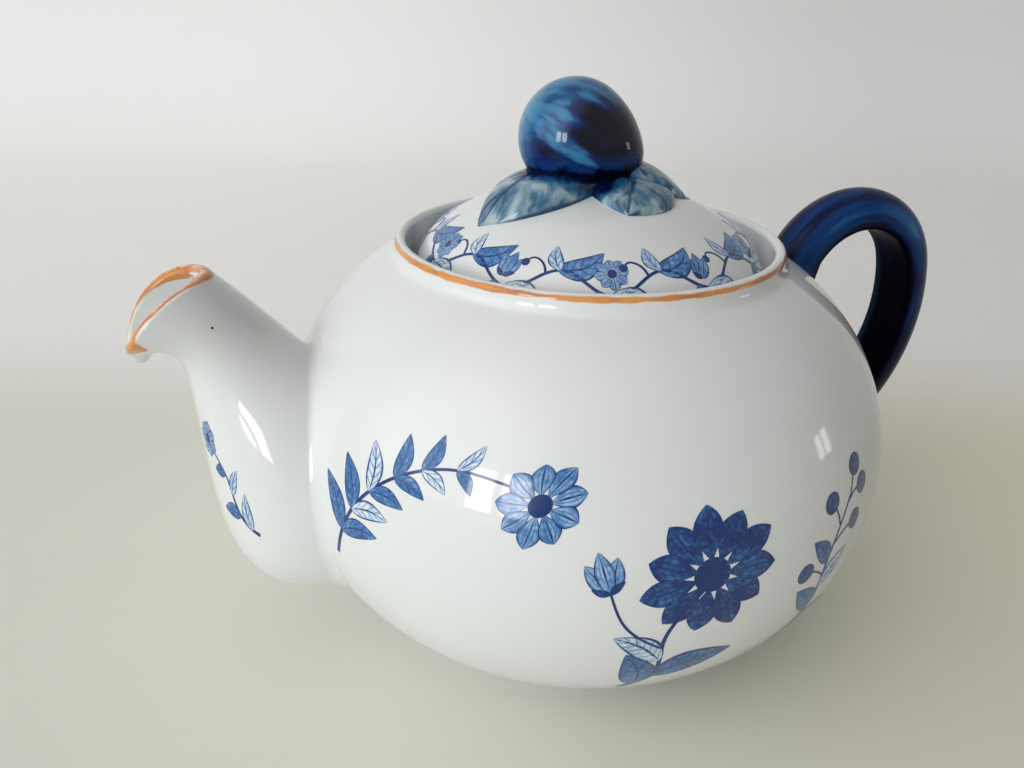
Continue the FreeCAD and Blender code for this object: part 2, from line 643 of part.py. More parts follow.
for number, line in enumerate(lid_shell.Shape.Edges, 1):
    round_edge = not line.Degenerated and isinstance(line.Curve, Part.Circle)
    if round_edge and abs(line.Curve.Center.x) < 1e-6 and abs(line.Curve.Radius - lid_radius) < 1e-4:
        corners.append(f"Edge{number}")
rounded.Base = (lid_shell, corners)
bind(rounded, "Radius", "lid_edge_round")
vent_sketch = new_sketch(lid, "vent_sketch", "XY_Plane")
vent_spot = Vector(0, value("vent_offset"), 0)
hole = vent_sketch.addGeometry(Part.Circle(vent_spot, Vector(0, 0, 1), value("vent_hole / 2")), False)
relate(vent_sketch, "PointOnObject", hole, 3, -2)
place_y(vent_sketch, "vent_offset", (hole, 3), "vent_offset")
dimension(vent_sketch, "vent_radius", "Radius", (hole,), "vent_hole / 2")
doc.recompute()
closed_volume = lid.Shape.Volume
vent = lid.newObject("PartDesign::Pocket", "vent")
vent.Profile = vent_sketch
vent.Type = "ThroughAll"
vent.Reversed = True
doc.recompute()
if lid.Shape.Volume >= closed_volume:
    raise RuntimeError("the vent hole cuts nothing")

# Dome form: the ball that the lid's top is part of. What sits on the lid is trimmed to it.
dome_form = doc.addObject("Part::Sphere", "dome_form")
bind(dome_form, "Radius", DOME_RADIUS)
bind(dome_form, "Placement.Base.z", f"{LID_TOP} - {DOME_RADIUS}")

# Fruit knob: a plum turned about its own long axis, which dips towards its narrow end.
fruit_form = new_body("fruit_form")
plum = new_sketch(fruit_form, "plum_outline", "XZ_Plane")
blunt, point = value("fruit_blunt_radius"), value("fruit_point_radius")
side = value("fruit_side_round")
spread = value("fruit_length - fruit_blunt_radius - fruit_point_radius")
side_x = ((side - blunt) ** 2 - (side - point) ** 2 + spread ** 2) / (2 * spread)
side_at = (side_x, -math.sqrt((side - blunt) ** 2 - side_x ** 2))
blunt_end = on_arc((0, 0), blunt, bearing(side_at, (0, 0)))
point_start = on_arc((spread, 0), point, bearing(side_at, (spread, 0)))
blunt_arc = add_arc(plum, (0, 0), blunt_end, (-blunt, 0))
side_arc = add_arc(plum, side_at, point_start, blunt_end)
point_arc = add_arc(plum, (spread, 0), (spread + point, 0), point_start)
axis = add_line(plum, (-blunt, 0), (spread + point, 0))
relate(plum, "Coincident", blunt_arc, 3, -1, 1)
relate(plum, "PointOnObject", point_arc, 3, -1)
relate(plum, "PointOnObject", blunt_arc, 2, -1)
relate(plum, "PointOnObject", point_arc, 1, -1)
relate(plum, "Tangent", blunt_arc, 1, side_arc, 2)
relate(plum, "Tangent", side_arc, 1, point_arc, 2)
join(plum, (axis, 1), (blunt_arc, 2), (axis, 2), (point_arc, 1))
dimension(plum, "blunt_radius", "Radius", (blunt_arc,), "fruit_blunt_radius")
dimension(plum, "side_round", "Radius", (side_arc,), "fruit_side_round")
dimension(plum, "point_radius", "Radius", (point_arc,), "fruit_point_radius")
place_x(plum, "spread", (point_arc, 3), "fruit_length - fruit_blunt_radius - fruit_point_radius")
plum_solid = revolve(fruit_form, "plum_solid", plum)
plum_solid.ReferenceAxis = (plum, ["H_Axis"])
turn = Rotation(Vector(0, 0, 1), value("fruit_turn_angle"))
dip = Rotation(Vector(0, 1, 0), value("fruit_tilt"))
fruit_form.Placement = Placement(Vector(0, 0, value(LID_TOP)), turn.multiply(dip))
bind(fruit_form, "Placement.Base.x", "-fruit_shift * cos(fruit_turn_angle * 1 deg)")
bind(fruit_form, "Placement.Base.y", "-fruit_shift * sin(fruit_turn_angle * 1 deg)")
bind(fruit_form, "Placement.Base.z", f"{LID_TOP} + fruit_lift")
fruit_knob = boolean("Cut", "fruit_knob", fruit_form, dome_form)

# Leaves: pointed ovals that lie on the dome, puffed in the middle, and tuck under the fruit.
def leaf_ball(name):
    """The ball that the leaf's upper face is part of. It stands highest at the leaf's crest."""
    size = name + "_"
    ball = doc.addObject("Part::Sphere", name + "_ball")
    turned = (f"cos({size}angle * 1 deg)", f"sin({size}angle * 1 deg)")
    share = f"(({DOME_RADIUS} + {size}thickness - leaf_puff) / {DOME_RADIUS})"
    height = f"sqrt({DOME_RADIUS} ^ 2 - {size}crest ^ 2 - {size}aside ^ 2)"
    bind(ball, "Radius", "leaf_puff")
    bind(ball, "Placement.Base.x", f"({size}crest * {turned[0]} - {size}aside * {turned[1]}) * {share}")
    bind(ball, "Placement.Base.y", f"({size}crest * {turned[1]} + {size}aside * {turned[0]}) * {share}")
    bind(ball, "Placement.Base.z", f"{LID_TOP} - {DOME_RADIUS} + {height} * {share}")
    return ball


def leaf_blank(name):
    """The leaf's outline as an upright block, from below the lid's edge to above its top."""
    size = name + "_"
    blank = new_body(name + "_blank")
    sketch = new_sketch(blank, name + "_outline", "XY_Plane")
    bind(sketch, "AttachmentOffset.Base.z", SEAT_HEIGHT)
    aside = value(size + "aside")
    heel, tip = (-value(size + "heel"), aside), (value(size + "reach"), aside)
    half = value(size + "width / 2")
    middle, chord = (heel[0] + tip[0]) / 2, tip[0] - heel[0]
    inset = (chord ** 2 / 4 - half ** 2) / (2 * half)
    over = add_arc(sketch, (middle, aside - inset), tip, heel)
    under = add_arc(sketch, (middle, aside + inset), heel, tip)
    join(sketch, (over, 2), (under, 1), (under, 2), (over, 1))
    place_y(sketch, "tip_aside", (over, 1), size + "aside")
    place_y(sketch, "heel_aside", (over, 2), size + "aside")
    dimension(sketch, "heel", "DistanceX", (over, 2, -1, 1), size + "heel")
    place_x(sketch, "reach", (over, 1), size + "reach")
    bow = f"((({size}reach + {size}heel) / 2) ^ 2 + ({size}width / 2) ^ 2) / {size}width"
    dimension(sketch, "over_round", "Radius", (over,), bow)
    dimension(sketch, "under_round", "Radius", (under,), bow)
    block = blank.newObject("PartDesign::Pad", name + "_block")
    block.Profile = sketch
    bind(block, "Length", "2 * lid_rise")
    blank.Placement.Rotation = Rotation(Vector(0, 0, 1), value(size + "angle"))
    bind(blank, "Placement.Rotation.Angle", f"{size}angle * 1 deg")
    return blank


LEAVES = ("leaf_front", "leaf_left", "leaf_right")
laid = []
for name in LEAVES:
    upper = boolean("Common", name + "_upper", leaf_blank(name), leaf_ball(name))
    bent = boolean("Cut", name + "_bent", upper, dome_form)
    trimmed = bent
    for other in laid:
        trimmed = boolean("Cut", f"{name}_beside_{other.Label}", trimmed, other)
    laid.append(boolean("Cut", name, trimmed, fruit_form))

doc.recompute()

# Every piece is checked and written to its own file.
NODES = ("pot_body", "spout", "handle", "lid", "fruit_knob") + LEAVES
for item in doc.Objects:
    if "Invalid" in item.State or "Error" in item.State:
        raise RuntimeError(f"{item.Label} did not compute: {item.State}")
os.makedirs("parts", exist_ok=True)
for name in NODES:
    shape = doc.getObjectsByLabel(name)[0].Shape
    if shape.isNull() or not shape.isValid() or len(shape.Solids) != 1:
        raise RuntimeError(f"{name} is not one sound solid")
    shape.exportStep(f"parts/{name}.step")
    box = shape.BoundBox
    print(f"{name}: {shape.Volume / 1000:.1f} cm3, x {box.XMin:.1f} to {box.XMax:.1f},",
          f"y {box.YMin:.1f} to {box.YMax:.1f}, z {box.ZMin:.1f} to {box.ZMax:.1f}")
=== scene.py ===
"""A glazed earthenware teapot: blue printed sprigs on white, an orange line on its lip and spout,
a dark blue handle, and a lid with a fruit and three leaves for a knob."""

import math

import bpy
import numpy as np
from mathutils import Matrix, Vector


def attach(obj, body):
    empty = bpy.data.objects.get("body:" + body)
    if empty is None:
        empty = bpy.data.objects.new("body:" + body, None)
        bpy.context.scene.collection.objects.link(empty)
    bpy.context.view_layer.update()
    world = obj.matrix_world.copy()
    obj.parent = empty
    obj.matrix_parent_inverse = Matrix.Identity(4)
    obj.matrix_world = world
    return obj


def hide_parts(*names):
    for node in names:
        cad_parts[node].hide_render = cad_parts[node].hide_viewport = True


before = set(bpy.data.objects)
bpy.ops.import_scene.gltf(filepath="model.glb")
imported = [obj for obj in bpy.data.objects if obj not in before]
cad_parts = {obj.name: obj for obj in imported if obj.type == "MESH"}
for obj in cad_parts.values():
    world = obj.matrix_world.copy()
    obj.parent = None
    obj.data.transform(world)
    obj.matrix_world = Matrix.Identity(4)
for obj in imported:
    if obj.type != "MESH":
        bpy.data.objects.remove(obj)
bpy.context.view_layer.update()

# Pot body: one shell of white earthenware, turned on a wheel. It stands on a foot ring, and inside its
# half-round lip is a ledge for the lid. Small holes through the wall behind the spout hold back the
# leaves. The lengths of pieces are millimetres, and those in paint and on the stage are metres.
belly_radius, belly_height, wall = 77.0, 52.6, 4.2
foot_radius, foot_height, foot_width, foot_recess, floor_top = 44.0, 3.2, 5.5, 3.0, 8.0
rim_radius, rim_height, lip_round, neck_round = 47.8, 104.2, 1.4, 3.0
seat_radius, seat_height, mouth_radius, ledge_low = 45.0, 92.7, 40.0, 89.2
collar_radius, collar_top = 48.2, 94.2
neck_centre = (rim_radius + neck_round, rim_height - 2.2)
lip_centre = (rim_radius - lip_round, rim_height - lip_round)
strainer_hole, strainer_pitch, strainer_height, strainer_cut = 5.0, 8.5, 48.0, (-80, -55)
line_drop, line_half, unpainted = 1.6, 0.74, -9.0
floor_edge, floor_round, hole_sides, crease = 44.4, 8.0, 20, math.radians(50)


def arc(centre, radius, start, end, count):
    """Points along an arc between two angles, in degrees."""
    turn = np.radians(np.linspace(start, end, count))
    return np.column_stack([centre[0] + radius * np.cos(turn), centre[1] + radius * np.sin(turn)])


def softened(corners):
    """An outline through corners, each given as its place and how round it is."""
    places = np.array([corner[:2] for corner in corners], float)
    made = [places[:1]]
    for number in range(1, len(corners) - 1):
        here, radius = places[number], corners[number][2]
        back, on = places[number - 1] - here, places[number + 1] - here
        back, on = back / np.linalg.norm(back), on / np.linalg.norm(on)
        half = math.acos(max(-1.0, min(1.0, back @ on))) / 2
        reach = radius / math.tan(half)
        middle = here + (back + on) / np.linalg.norm(back + on) * radius / math.sin(half)
        start, end = here + back * reach - middle, here + on * reach - middle
        share = np.linspace(0, 1, 7)[:, None]
        spread = start * (1 - share) + end * share
        made.append(middle + spread / np.linalg.norm(spread, axis=1)[:, None] * radius)
    return np.vstack(made + [places[-1:]])


def side_centre(edge, radius, height):
    """How far from the axis an arc of the belly is centred, if it stands upright at the widest line."""
    return (edge ** 2 - radius ** 2 - (height - belly_height) ** 2) / (2 * (edge - radius))


low_centre = side_centre(belly_radius, foot_radius, foot_height)
high_centre = side_centre(belly_radius + neck_round, *neck_centre)
low_round, high_round = belly_radius - low_centre, belly_radius - high_centre
neck_angle = math.degrees(math.atan2(neck_centre[1] - belly_height, neck_centre[0] - high_centre))
low_belly = arc((low_centre, belly_height), low_round, -63, 0, 48)
inner_low = arc((low_centre, belly_height), low_round - wall, 0, -60, 32)
pot_outline = np.vstack([
    softened([(0, foot_recess), (foot_radius - foot_width, foot_recess, 1.2),
              (foot_radius - foot_width, 0, 1.2), (foot_radius, 0, 1.3),
              (foot_radius, foot_height, 1.6), low_belly[0]]),
    low_belly[1:],
    arc((high_centre, belly_height), high_round, 0, neck_angle, 48)[1:],
    arc(neck_centre, neck_round, neck_angle + 180, 180, 10)[1:],
    arc(lip_centre, lip_round, 0, 180, 17),
    softened([(seat_radius, rim_height - 3), (seat_radius, seat_height, 1.0),
              (mouth_radius, seat_height, 0.9), (mouth_radius, ledge_low, 0.9),
              (collar_radius, ledge_low, 0.8), (collar_radius, collar_top)]),
    arc((high_centre, belly_height), high_round - wall, 59, 0, 40),
    inner_low[1:-1],
    softened([inner_low[-1], (floor_edge, floor_top, floor_round), (0, floor_top)])])


def tube_faces(rings, count, round_again=False):
    """Faces between rings of points, each joined to the next and, round again, the last to the first."""
    step = np.arange(count)
    on = (step + 1) % count
    faces = []
    for ring in range(rings if round_again else rings - 1):
        low, high = ring * count, (ring + 1) % rings * count
        faces += np.column_stack([low + step, low + on, high + on, high + step]).tolist()
    return faces


def closed_tube(rings, count):
    """Faces of a tube that is closed at each end by one point. The two points follow the rings."""
    step = np.arange(count)
    on = (step + 1) % count
    last, end = (rings - 1) * count, rings * count
    faces = tube_faces(rings, count)
    faces += np.column_stack([on, step, np.full(count, end)]).tolist()
    faces += np.column_stack([last + step, last + on, np.full(count, end + 1)]).tolist()
    return faces


def turned(outline, count):
    """Points and faces of an outline turned about the upright axis. Both its ends lie on the axis."""
    turn = np.linspace(0, 2 * math.pi, count, endpoint=False)
    rings = outline[1:-1]
    across = np.column_stack([np.cos(turn), np.sin(turn)])
    flat = (rings[:, None, :1] * across[None]).reshape(-1, 2)
    points = np.column_stack([flat, np.repeat(rings[:, 1], count)])
    ends = [(0, 0, outline[0][1]), (0, 0, outline[-1][1])]
    return np.vstack([points, ends]), closed_tube(len(rings), count)


def make_piece(name, points, faces):
    mesh = bpy.data.meshes.new(name)
    mesh.from_pydata((np.asarray(points) / 1000).tolist(), [], faces)
    mesh.shade_smooth()
    piece = bpy.data.objects.new(name, mesh)
    bpy.context.collection.objects.link(piece)
    return piece


def drill(piece, holes, start, end, axis):
    """Cuts round holes, given as centre and radius, straight through a piece along one axis."""
    points, faces = [], []
    sides = np.arange(hole_sides)
    on = (sides + 1) % hole_sides
    turn = 2 * math.pi * sides / hole_sides
    for centre, radius in holes:
        first = len(points)
        for depth in (start, end):
            ring = np.empty((hole_sides, 3))
            ring[:, axis] = depth
            ring[:, (axis + 1) % 3] = centre[0] + radius * np.cos(turn)
            ring[:, (axis + 2) % 3] = centre[1] + radius * np.sin(turn)
            points += ring.tolist()
        faces += (first + np.column_stack([sides, on, hole_sides + on, hole_sides + sides])).tolist()
        faces += [(first + sides[::-1]).tolist(), (first + hole_sides + sides).tolist()]
    cutter = make_piece(piece.name + "_cutter", points, faces)
    cut = piece.modifiers.new("holes", "BOOLEAN")
    cut.object = cutter
    cut.solver = "EXACT"
    ready = piece.evaluated_get(bpy.context.evaluated_depsgraph_get())
    mesh = bpy.data.meshes.new_from_object(ready)
    mesh.shade_smooth()
    mesh.set_sharp_from_angle(angle=crease)
    piece.modifiers.clear()
    piece.data = mesh
    bpy.data.objects.remove(cutter)


def mark(piece, name, values):
    """Keeps a number, or three, on each point of a piece for its paint to read."""
    values = np.asarray(values, float)
    kind = "FLOAT" if values.ndim == 1 else "FLOAT_VECTOR"
    layer = piece.data.attributes.new(name, kind, "POINT")
    layer.data.foreach_set("value" if values.ndim == 1 else "vector", values.ravel())


def points_of(piece):
    """A piece's points in millimetres."""
    places = np.empty(len(piece.data.vertices) * 3)
    piece.data.vertices.foreach_get("co", places)
    return places.reshape(-1, 3) * 1000


pot_body = make_piece("pot_body", *turned(pot_outline, 288))
strainer = [((0, strainer_height), strainer_hole / 2)]
for count, ring in ((6, 1), (12, 2)):
    for number in range(count):
        way = 2 * math.pi * number / count + math.pi / 2
        out = ring * strainer_pitch
        place = (out * math.cos(way), strainer_height + out * math.sin(way))
        strainer.append((place, strainer_hole / 2))
drill(pot_body, strainer, *strainer_cut, 0)

places = points_of(pot_body)
reach = np.hypot(places[:, 0], places[:, 1])
way = np.arctan2(places[:, 2] - lip_centre[1], reach - lip_centre[0])
down_the_lip = np.where(places[:, 2] > lip_centre[1], (math.pi / 2 - way) * lip_round,
                        math.pi / 2 * lip_round + lip_centre[1] - places[:, 2])
on_the_lip = (places[:, 2] > rim_height - 6) & (reach > lip_centre[0] - lip_round)
mark(pot_body, "paint", np.where(on_the_lip, line_half - np.abs(down_the_lip - line_drop), unpainted))


def put(tree, kind, *inputs, out=0, **choices):
    """Adds a shader node, sets or links its inputs in order, and gives back one of its outputs."""
    node = tree.nodes.new("ShaderNode" + kind)
    for name, choice in choices.items():
        setattr(node, name, choice)
    for number, given in enumerate(inputs):
        if isinstance(given, bpy.types.NodeSocket):
            tree.links.new(given, node.inputs[number])
        elif given is not None:
            node.inputs[number].default_value = given
    return node.outputs[out]


def sums(kind, first, second=0.0):
    """One step of arithmetic, in the tree of the first number."""
    return put(first.id_data, "Math", first, second, operation=kind)


def times(first, second):
    return sums("MULTIPLY", first, second)


def plus(first, second):
    return sums("ADD", first, second)


def less(first, second):
    return sums("SUBTRACT", first, second)


def most(first, second):
    return sums("MAXIMUM", first, second)


def fade(given, start, end):
    """Nothing at the start, all at the end, and smooth between."""
    return put(given.id_data, "MapRange", given, start, end, 0.0, 1.0, interpolation_type="SMOOTHSTEP")


def grain(place, scale, detail=3.0, roughness=0.55, distortion=0.0):
    """Cloudy noise between nothing and one."""
    return put(place.id_data, "TexNoise", place, None, scale, detail, roughness, None, None, None, distortion)


def wobble(place, *look):
    """The same noise, half of it below nothing."""
    return less(grain(place, *look), 0.5)


def blend(share, first, second):
    """One colour into another, by a share of the second."""
    tree = share.id_data
    node = tree.nodes.new("ShaderNodeMix")
    node.data_type = "RGBA"
    for number, given in ((0, share), (6, first), (7, second)):
        if isinstance(given, bpy.types.NodeSocket):
            tree.links.new(given, node.inputs[number])
        else:
            node.inputs[number].default_value = given
    return node.outputs[2]


def hue(red, green, blue):
    """A colour as it is seen on a screen, given in steps of 255."""
    seen = np.array([red, green, blue]) / 255
    straight = np.where(seen < 0.04045, seen / 12.92, ((seen + 0.055) / 1.055) ** 2.4)
    return (*straight.tolist(), 1.0)


def glazed(name, paint, gloss=0.06, shine=0.5):
    """A fired gloss glaze. The paint under it is given the bare white body to work on, and the shine is even
    or is worked out from the place."""
    material = bpy.data.materials.new(name)
    material.use_nodes = True
    tree = material.node_tree
    shader = tree.nodes["Principled BSDF"]
    place = put(tree, "TexCoord", out=3)
    cloud = grain(place, 22.0, 2.0)
    white = blend(cloud, hue(222, 226, 226), hue(228, 231, 230))
    cell, chosen = [put(tree, "TexVoronoi", place, None, 62.0, out=number) for number in range(2)]
    speck = sums("LESS_THAN", cell, 0.016)
    rare = sums("GREATER_THAN", put(tree, "SeparateColor", chosen), 0.86)
    white = blend(times(speck, rare), white, hue(92, 74, 58))
    tree.links.new(paint(tree, place, white), shader.inputs["Base Color"])
    smear = fade(grain(place, 34.0, 4.0), 0.35, 0.75)
    matt = put(tree, "MapRange", smear, 0.0, 1.0, gloss, gloss + 0.05)
    tree.links.new(matt, shader.inputs["Roughness"])
    wave = plus(grain(place, 60.0, 1.0), times(grain(place, 420.0, 2.0), 0.06))
    bump = tree.nodes.new("ShaderNodeBump")
    bump.inputs["Strength"].default_value = 0.35
    bump.inputs["Distance"].default_value = 0.00022
    tree.links.new(wave, bump.inputs["Height"])
    tree.links.new(bump.outputs["Normal"], shader.inputs["Normal"])
    shader.inputs["IOR"].default_value = 1.52
    if callable(shine):
        tree.links.new(shine(tree, place), shader.inputs["Specular IOR Level"])
    else:
        shader.inputs["Specular IOR Level"].default_value = shine
    return material


pit_place = (-0.09058, -0.01154, 0.09326)


def lined(tree, place, white):
    """An orange line drawn by hand, with pale patches of wear, and paler on the spout's crest as wear and
    painted highlight together. The body has one small glaze pit.
    """
    pit = put(tree, "VectorMath", place, pit_place, operation="DISTANCE", out=1)
    white = blend(fade(pit, 0.0004, 0.0002), white, hue(52, 48, 46))
    wander = times(wobble(place, 240.0, 4.0), 1.1)
    drift = times(wobble(place, 38.0, 2.0), 0.8)
    width = put(tree, "Attribute", out=2, attribute_name="paint")
    cover = fade(plus(plus(width, wander), drift), -0.14, 0.36)
    thick = grain(place, 120.0, 3.0)
    orange = blend(fade(thick, 0.34, 0.66), hue(196, 104, 10), hue(216, 146, 58))
    brown = fade(grain(place, 52.0, 3.0), 0.54, 0.68)
    orange = blend(times(brown, 0.8), orange, hue(160, 96, 42))
    # Paler along the spout's crest: partly wear, partly a painted highlight.
    crest_wear_and_highlight = times(put(tree, "Attribute", out=2, attribute_name="crest_wear_and_highlight"), 0.3)
    wear_and_highlight = fade(plus(grain(place, 330.0, 3.0), crest_wear_and_highlight), 0.7, 0.84)
    orange = blend(times(wear_and_highlight, 0.85), orange, hue(234, 202, 158))
    return blend(times(cover, 0.95), white, orange)


white_glaze = glazed("white_glaze_orange_line", lined, 0.04)
pot_body.data.materials.append(white_glaze)
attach(pot_body, "pot")
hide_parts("pot_body")

# Spout: cast in a mould as a tube that swells at its root, then stuck on the belly with slip, which leaves
# a small hollow round the seam. Its mouth is trimmed to an arc, with a drip bead under the lip.
stations = np.array([(-51.0, 48.0, 2.0, 30.0, 28.5), (-74.0, 51.6, 27.5, 29.2, 24.5),
                     (-82.4, 68.5, 47.0, 18.3, 17.5), (-86.5, 82.2, 60.5, 12.1, 12.0),
                     (-93.3, 91.8, 46.1, 10.0, 12.2), (-107.2, 96.6, 46.4, 15.5, 12.6)])
spout_wall, mouth_wall = 3.2, 2.8
lip_cut_centre, lip_cut_round, lip_edge = np.array([-87.7, 80.4]), 22.3, 1.1
bead_centre, bead_rise, bead_tall, bead_wide = np.array([-106.1, 0.0, 85.8]), 3.7, 2.6, 3.6
seam_round, root_sink = 3.2, 0.15


def through(knots, values, at):
    """A smooth curve through values at the knots, read at other places along it."""
    count, gaps = len(knots), np.diff(knots)
    rises = np.diff(values, axis=0) / gaps[:, None]
    system, load = np.eye(count), np.zeros_like(values)
    for number in range(1, count - 1):
        before, after = gaps[number - 1], gaps[number]
        system[number, number - 1:number + 2] = before, 2 * (before + after), after
        load[number] = 6 * (rises[number] - rises[number - 1])
    bends = np.linalg.solve(system, load)
    at = np.asarray(at, float)
    span = np.clip(np.searchsorted(knots, at) - 1, 0, count - 2)
    gap = gaps[span][:, None]
    on = (at - knots[span])[:, None]
    left = gap - on
    return (bends[span] * left ** 3 + bends[span + 1] * on ** 3) / (6 * gap) \
        + (values[span] / gap - bends[span] * gap / 6) * left \
        + (values[span + 1] / gap - bends[span + 1] * gap / 6) * on


def spout_skin(walls, count, samples):
    """Points of the spout's skin, as samples along it by a count round it, thinned by the walls."""
    turn = np.linspace(0, 2 * math.pi, count, endpoint=False)
    rings = []
    for (along, up, lean, depth, width), thin in zip(stations, walls):
        lean = math.radians(lean)
        deep, wide = (depth - thin) * np.cos(turn), (width - thin) * np.sin(turn)
        rings.append(np.column_stack([along + deep * math.sin(lean), wide, up + deep * math.cos(lean)]))
    rings = np.array(rings)
    gaps = np.linalg.norm(np.diff(rings, axis=0), axis=2).mean(axis=1)
    knots = np.concatenate([[0], np.cumsum(gaps)]) / gaps.sum()
    flat = through(knots, rings.reshape(len(stations), -1), np.linspace(0, 1, samples))
    return flat.reshape(samples, count, 3)


def above_belly(points):
    """How far points stand out from the belly, and the belly's outward direction there."""
    reach = np.hypot(points[..., 0], points[..., 1])
    rise = points[..., 2] - belly_height
    centre = np.where(rise > 0, high_centre, low_centre)
    far = np.hypot(reach - centre, rise)
    out = np.stack([points[..., 0] / reach * (reach - centre) / far,
                    points[..., 1] / reach * (reach - centre) / far, rise / far], axis=-1)
    return far - (belly_radius - centre), out


def first_past(values, limit):
    """For each column, where along the samples the values pass a limit for the last time."""
    below = values < limit
    last = len(values) - 1 - np.argmax(below[::-1], axis=0)
    last = np.minimum(last, len(values) - 2)
    column = np.arange(values.shape[1])
    here, on = values[last, column], values[last + 1, column]
    return last + np.clip((limit - here) / (on - here), 0, 1)


def read_along(samples, at):
    """Points part way between samples, for each column at its own place."""
    low = np.clip(np.floor(at).astype(int), 0, len(samples) - 2)
    share = (at - low)[..., None]
    column = np.arange(samples.shape[1])
    return samples[low, column] * (1 - share) + samples[low + 1, column] * share


def unit(vectors):
    return vectors / np.linalg.norm(vectors, axis=-1, keepdims=True)


def away_from_middle(square, rings):
    """Directions square to a skin of rings, turned the way that leads out of it."""
    out = unit(square)
    return out * np.sign((out * (rings - rings.mean(axis=1, keepdims=True))).sum(axis=-1).mean())


def grown_from_belly(points, heading, outward, hollow):
    """Spreads a skin where it meets the belly, so that the seam is a small hollow and not a corner."""
    height, up = above_belly(points)
    steep = np.abs((unit(heading) * up).sum(axis=-1))
    size = np.maximum(hollow * steep, 0.05)
    away = unit(outward - (outward * up).sum(axis=-1, keepdims=True) * up)
    near = np.clip(1 - height / size, 0, 1)
    spread = points + away * (size * (1 - np.sqrt(1 - near ** 2 * 0.999)))[..., None]
    drift, up = above_belly(spread)
    return spread + up * np.where(near > 0, height - drift, 0)[..., None]


spout_count = 120
skin = spout_skin([0] * 6, spout_count, 600)
bore = spout_skin([spout_wall] * 5 + [mouth_wall], spout_count, 600)


def to_lip(points, edge):
    """How far points are past the arc that the mouth is trimmed to."""
    across, up = points[..., 0] - lip_cut_centre[0], points[..., 2] - lip_cut_centre[1]
    return np.hypot(across, up) - (lip_cut_round - edge)


def spout_run(samples, edge):
    """Where each line along the spout starts, at the belly, and where it ends, at the mouth."""
    start = first_past(above_belly(samples)[0], -root_sink)
    beside = (samples[..., 0] > lip_cut_centre[0]) | (samples[..., 2] < lip_cut_centre[1])
    past = np.where(beside, -1.0, to_lip(samples, edge))
    end = len(samples) - 1 - first_past(-past[::-1], 0.0)
    return start, end


outer_start, outer_end = spout_run(skin, lip_edge)
share = np.concatenate([np.linspace(0, 0.12, 26), np.linspace(0.12, 0.8, 56)[1:],
                        np.linspace(0.8, 1, 34)[1:]])
at = outer_start + (outer_end - outer_start) * share[:, None]
outer = read_along(skin, at)
heading = read_along(np.gradient(skin, axis=0), at)
around = read_along((np.roll(skin, -1, axis=1) - np.roll(skin, 1, axis=1)), at)
outward = away_from_middle(np.cross(around, heading), outer)
outer = grown_from_belly(outer, heading, outward, seam_round)
off = outer - bead_centre
upright = (off[..., 0] ** 2 + off[..., 2] ** 2) / bead_tall ** 2
swell = np.exp(-upright ** 1.5 - (off[..., 1] / bead_wide) ** 2)
outer = outer + outward * (bead_rise * swell)[..., None]
inner_start, inner_end = spout_run(bore, lip_edge)
inner_share = np.linspace(1, 0, 70)[:, None]
inner = read_along(bore, inner_start + (inner_end - inner_start) * inner_share)
middle, half = (outer[-1] + inner[0]) / 2, (outer[-1] - inner[0]) / 2
crest = (middle - (lip_cut_centre[0], 0, lip_cut_centre[1])) * (1, 0, 1)
crest = unit(crest) * lip_edge
edge_turns = np.linspace(0, math.pi, 11)[1:-1]
edge = np.array([middle + half * math.cos(way) + crest * math.sin(way) for way in edge_turns])
rings = np.concatenate([outer, edge, inner])
spout = make_piece("spout", rings.reshape(-1, 3), tube_faces(len(rings), spout_count, True))

# The painter's line round the mouth is broad at the back, thin at the sides and runs into a blob beside the
# tip. On the edge itself it is paler, from wear and from a painted highlight along the crest.
turn = np.linspace(0, 2 * math.pi, spout_count, endpoint=False)
from_back = (turn + math.pi) % (2 * math.pi) - math.pi
band = 1.2 + 1.7 * np.exp(-(from_back / 0.6) ** 2) + 3.3 * np.exp(-((turn - 3.9) / 0.28) ** 2)
inner_band = 0.9 + 2.2 * np.exp(-((turn - 0.9) / 0.8) ** 2) + 1.4 * np.exp(-((turn - 4.1) / 0.4) ** 2)
from_edge = np.linalg.norm(rings - edge[len(edge) // 2][None], axis=-1)
inside = np.arange(len(rings))[:, None] > len(outer) + len(edge) // 2
paint = np.where(inside, inner_band, band) - from_edge
mark(spout, "paint", np.maximum(paint, unpainted).ravel())
# Pale mark along the crest: wear and a painted highlight together.
mark(spout, "crest_wear_and_highlight", np.exp(-(from_edge / 0.8) ** 2).ravel())
spout.data.materials.append(white_glaze)
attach(spout, "pot")
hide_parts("spout")

# Handle: a rod of clay rolled, flattened on the side towards the belly and bent into an ear. Both ends are
# spread with the thumb where they are stuck on. Brushed all over with cobalt in long strokes, with painted
# shade down the back of the rod and on the flat towards the belly, and a paler teal strip along one edge of
# the flat.
rod_round, rod_flat, rod_corner, rod_flare, rod_seam, rod_sink = 7.6, 2.6, 1.6, 1.47, 2.6, 0.4
crown, crown_round = np.array([81.4, 84.1]), 19.3
tail, tail_round = np.array([70.0, 63.6]), 25.9
back_round = 44.3
rise_angle, tail_angle, root_length, tail_length = 60.0, 17.2, 15.0, 20.0

gap = np.linalg.norm(crown - tail)
along = ((back_round - tail_round) ** 2 - (back_round - crown_round) ** 2 + gap ** 2) / (2 * gap)
aside = math.sqrt((back_round - tail_round) ** 2 - along ** 2)
course = (crown - tail) / gap
back = tail + along * course + aside * np.array([-course[1], course[0]])


def bearing(start, end):
    return math.degrees(math.atan2(end[1] - start[1], end[0] - start[0]))


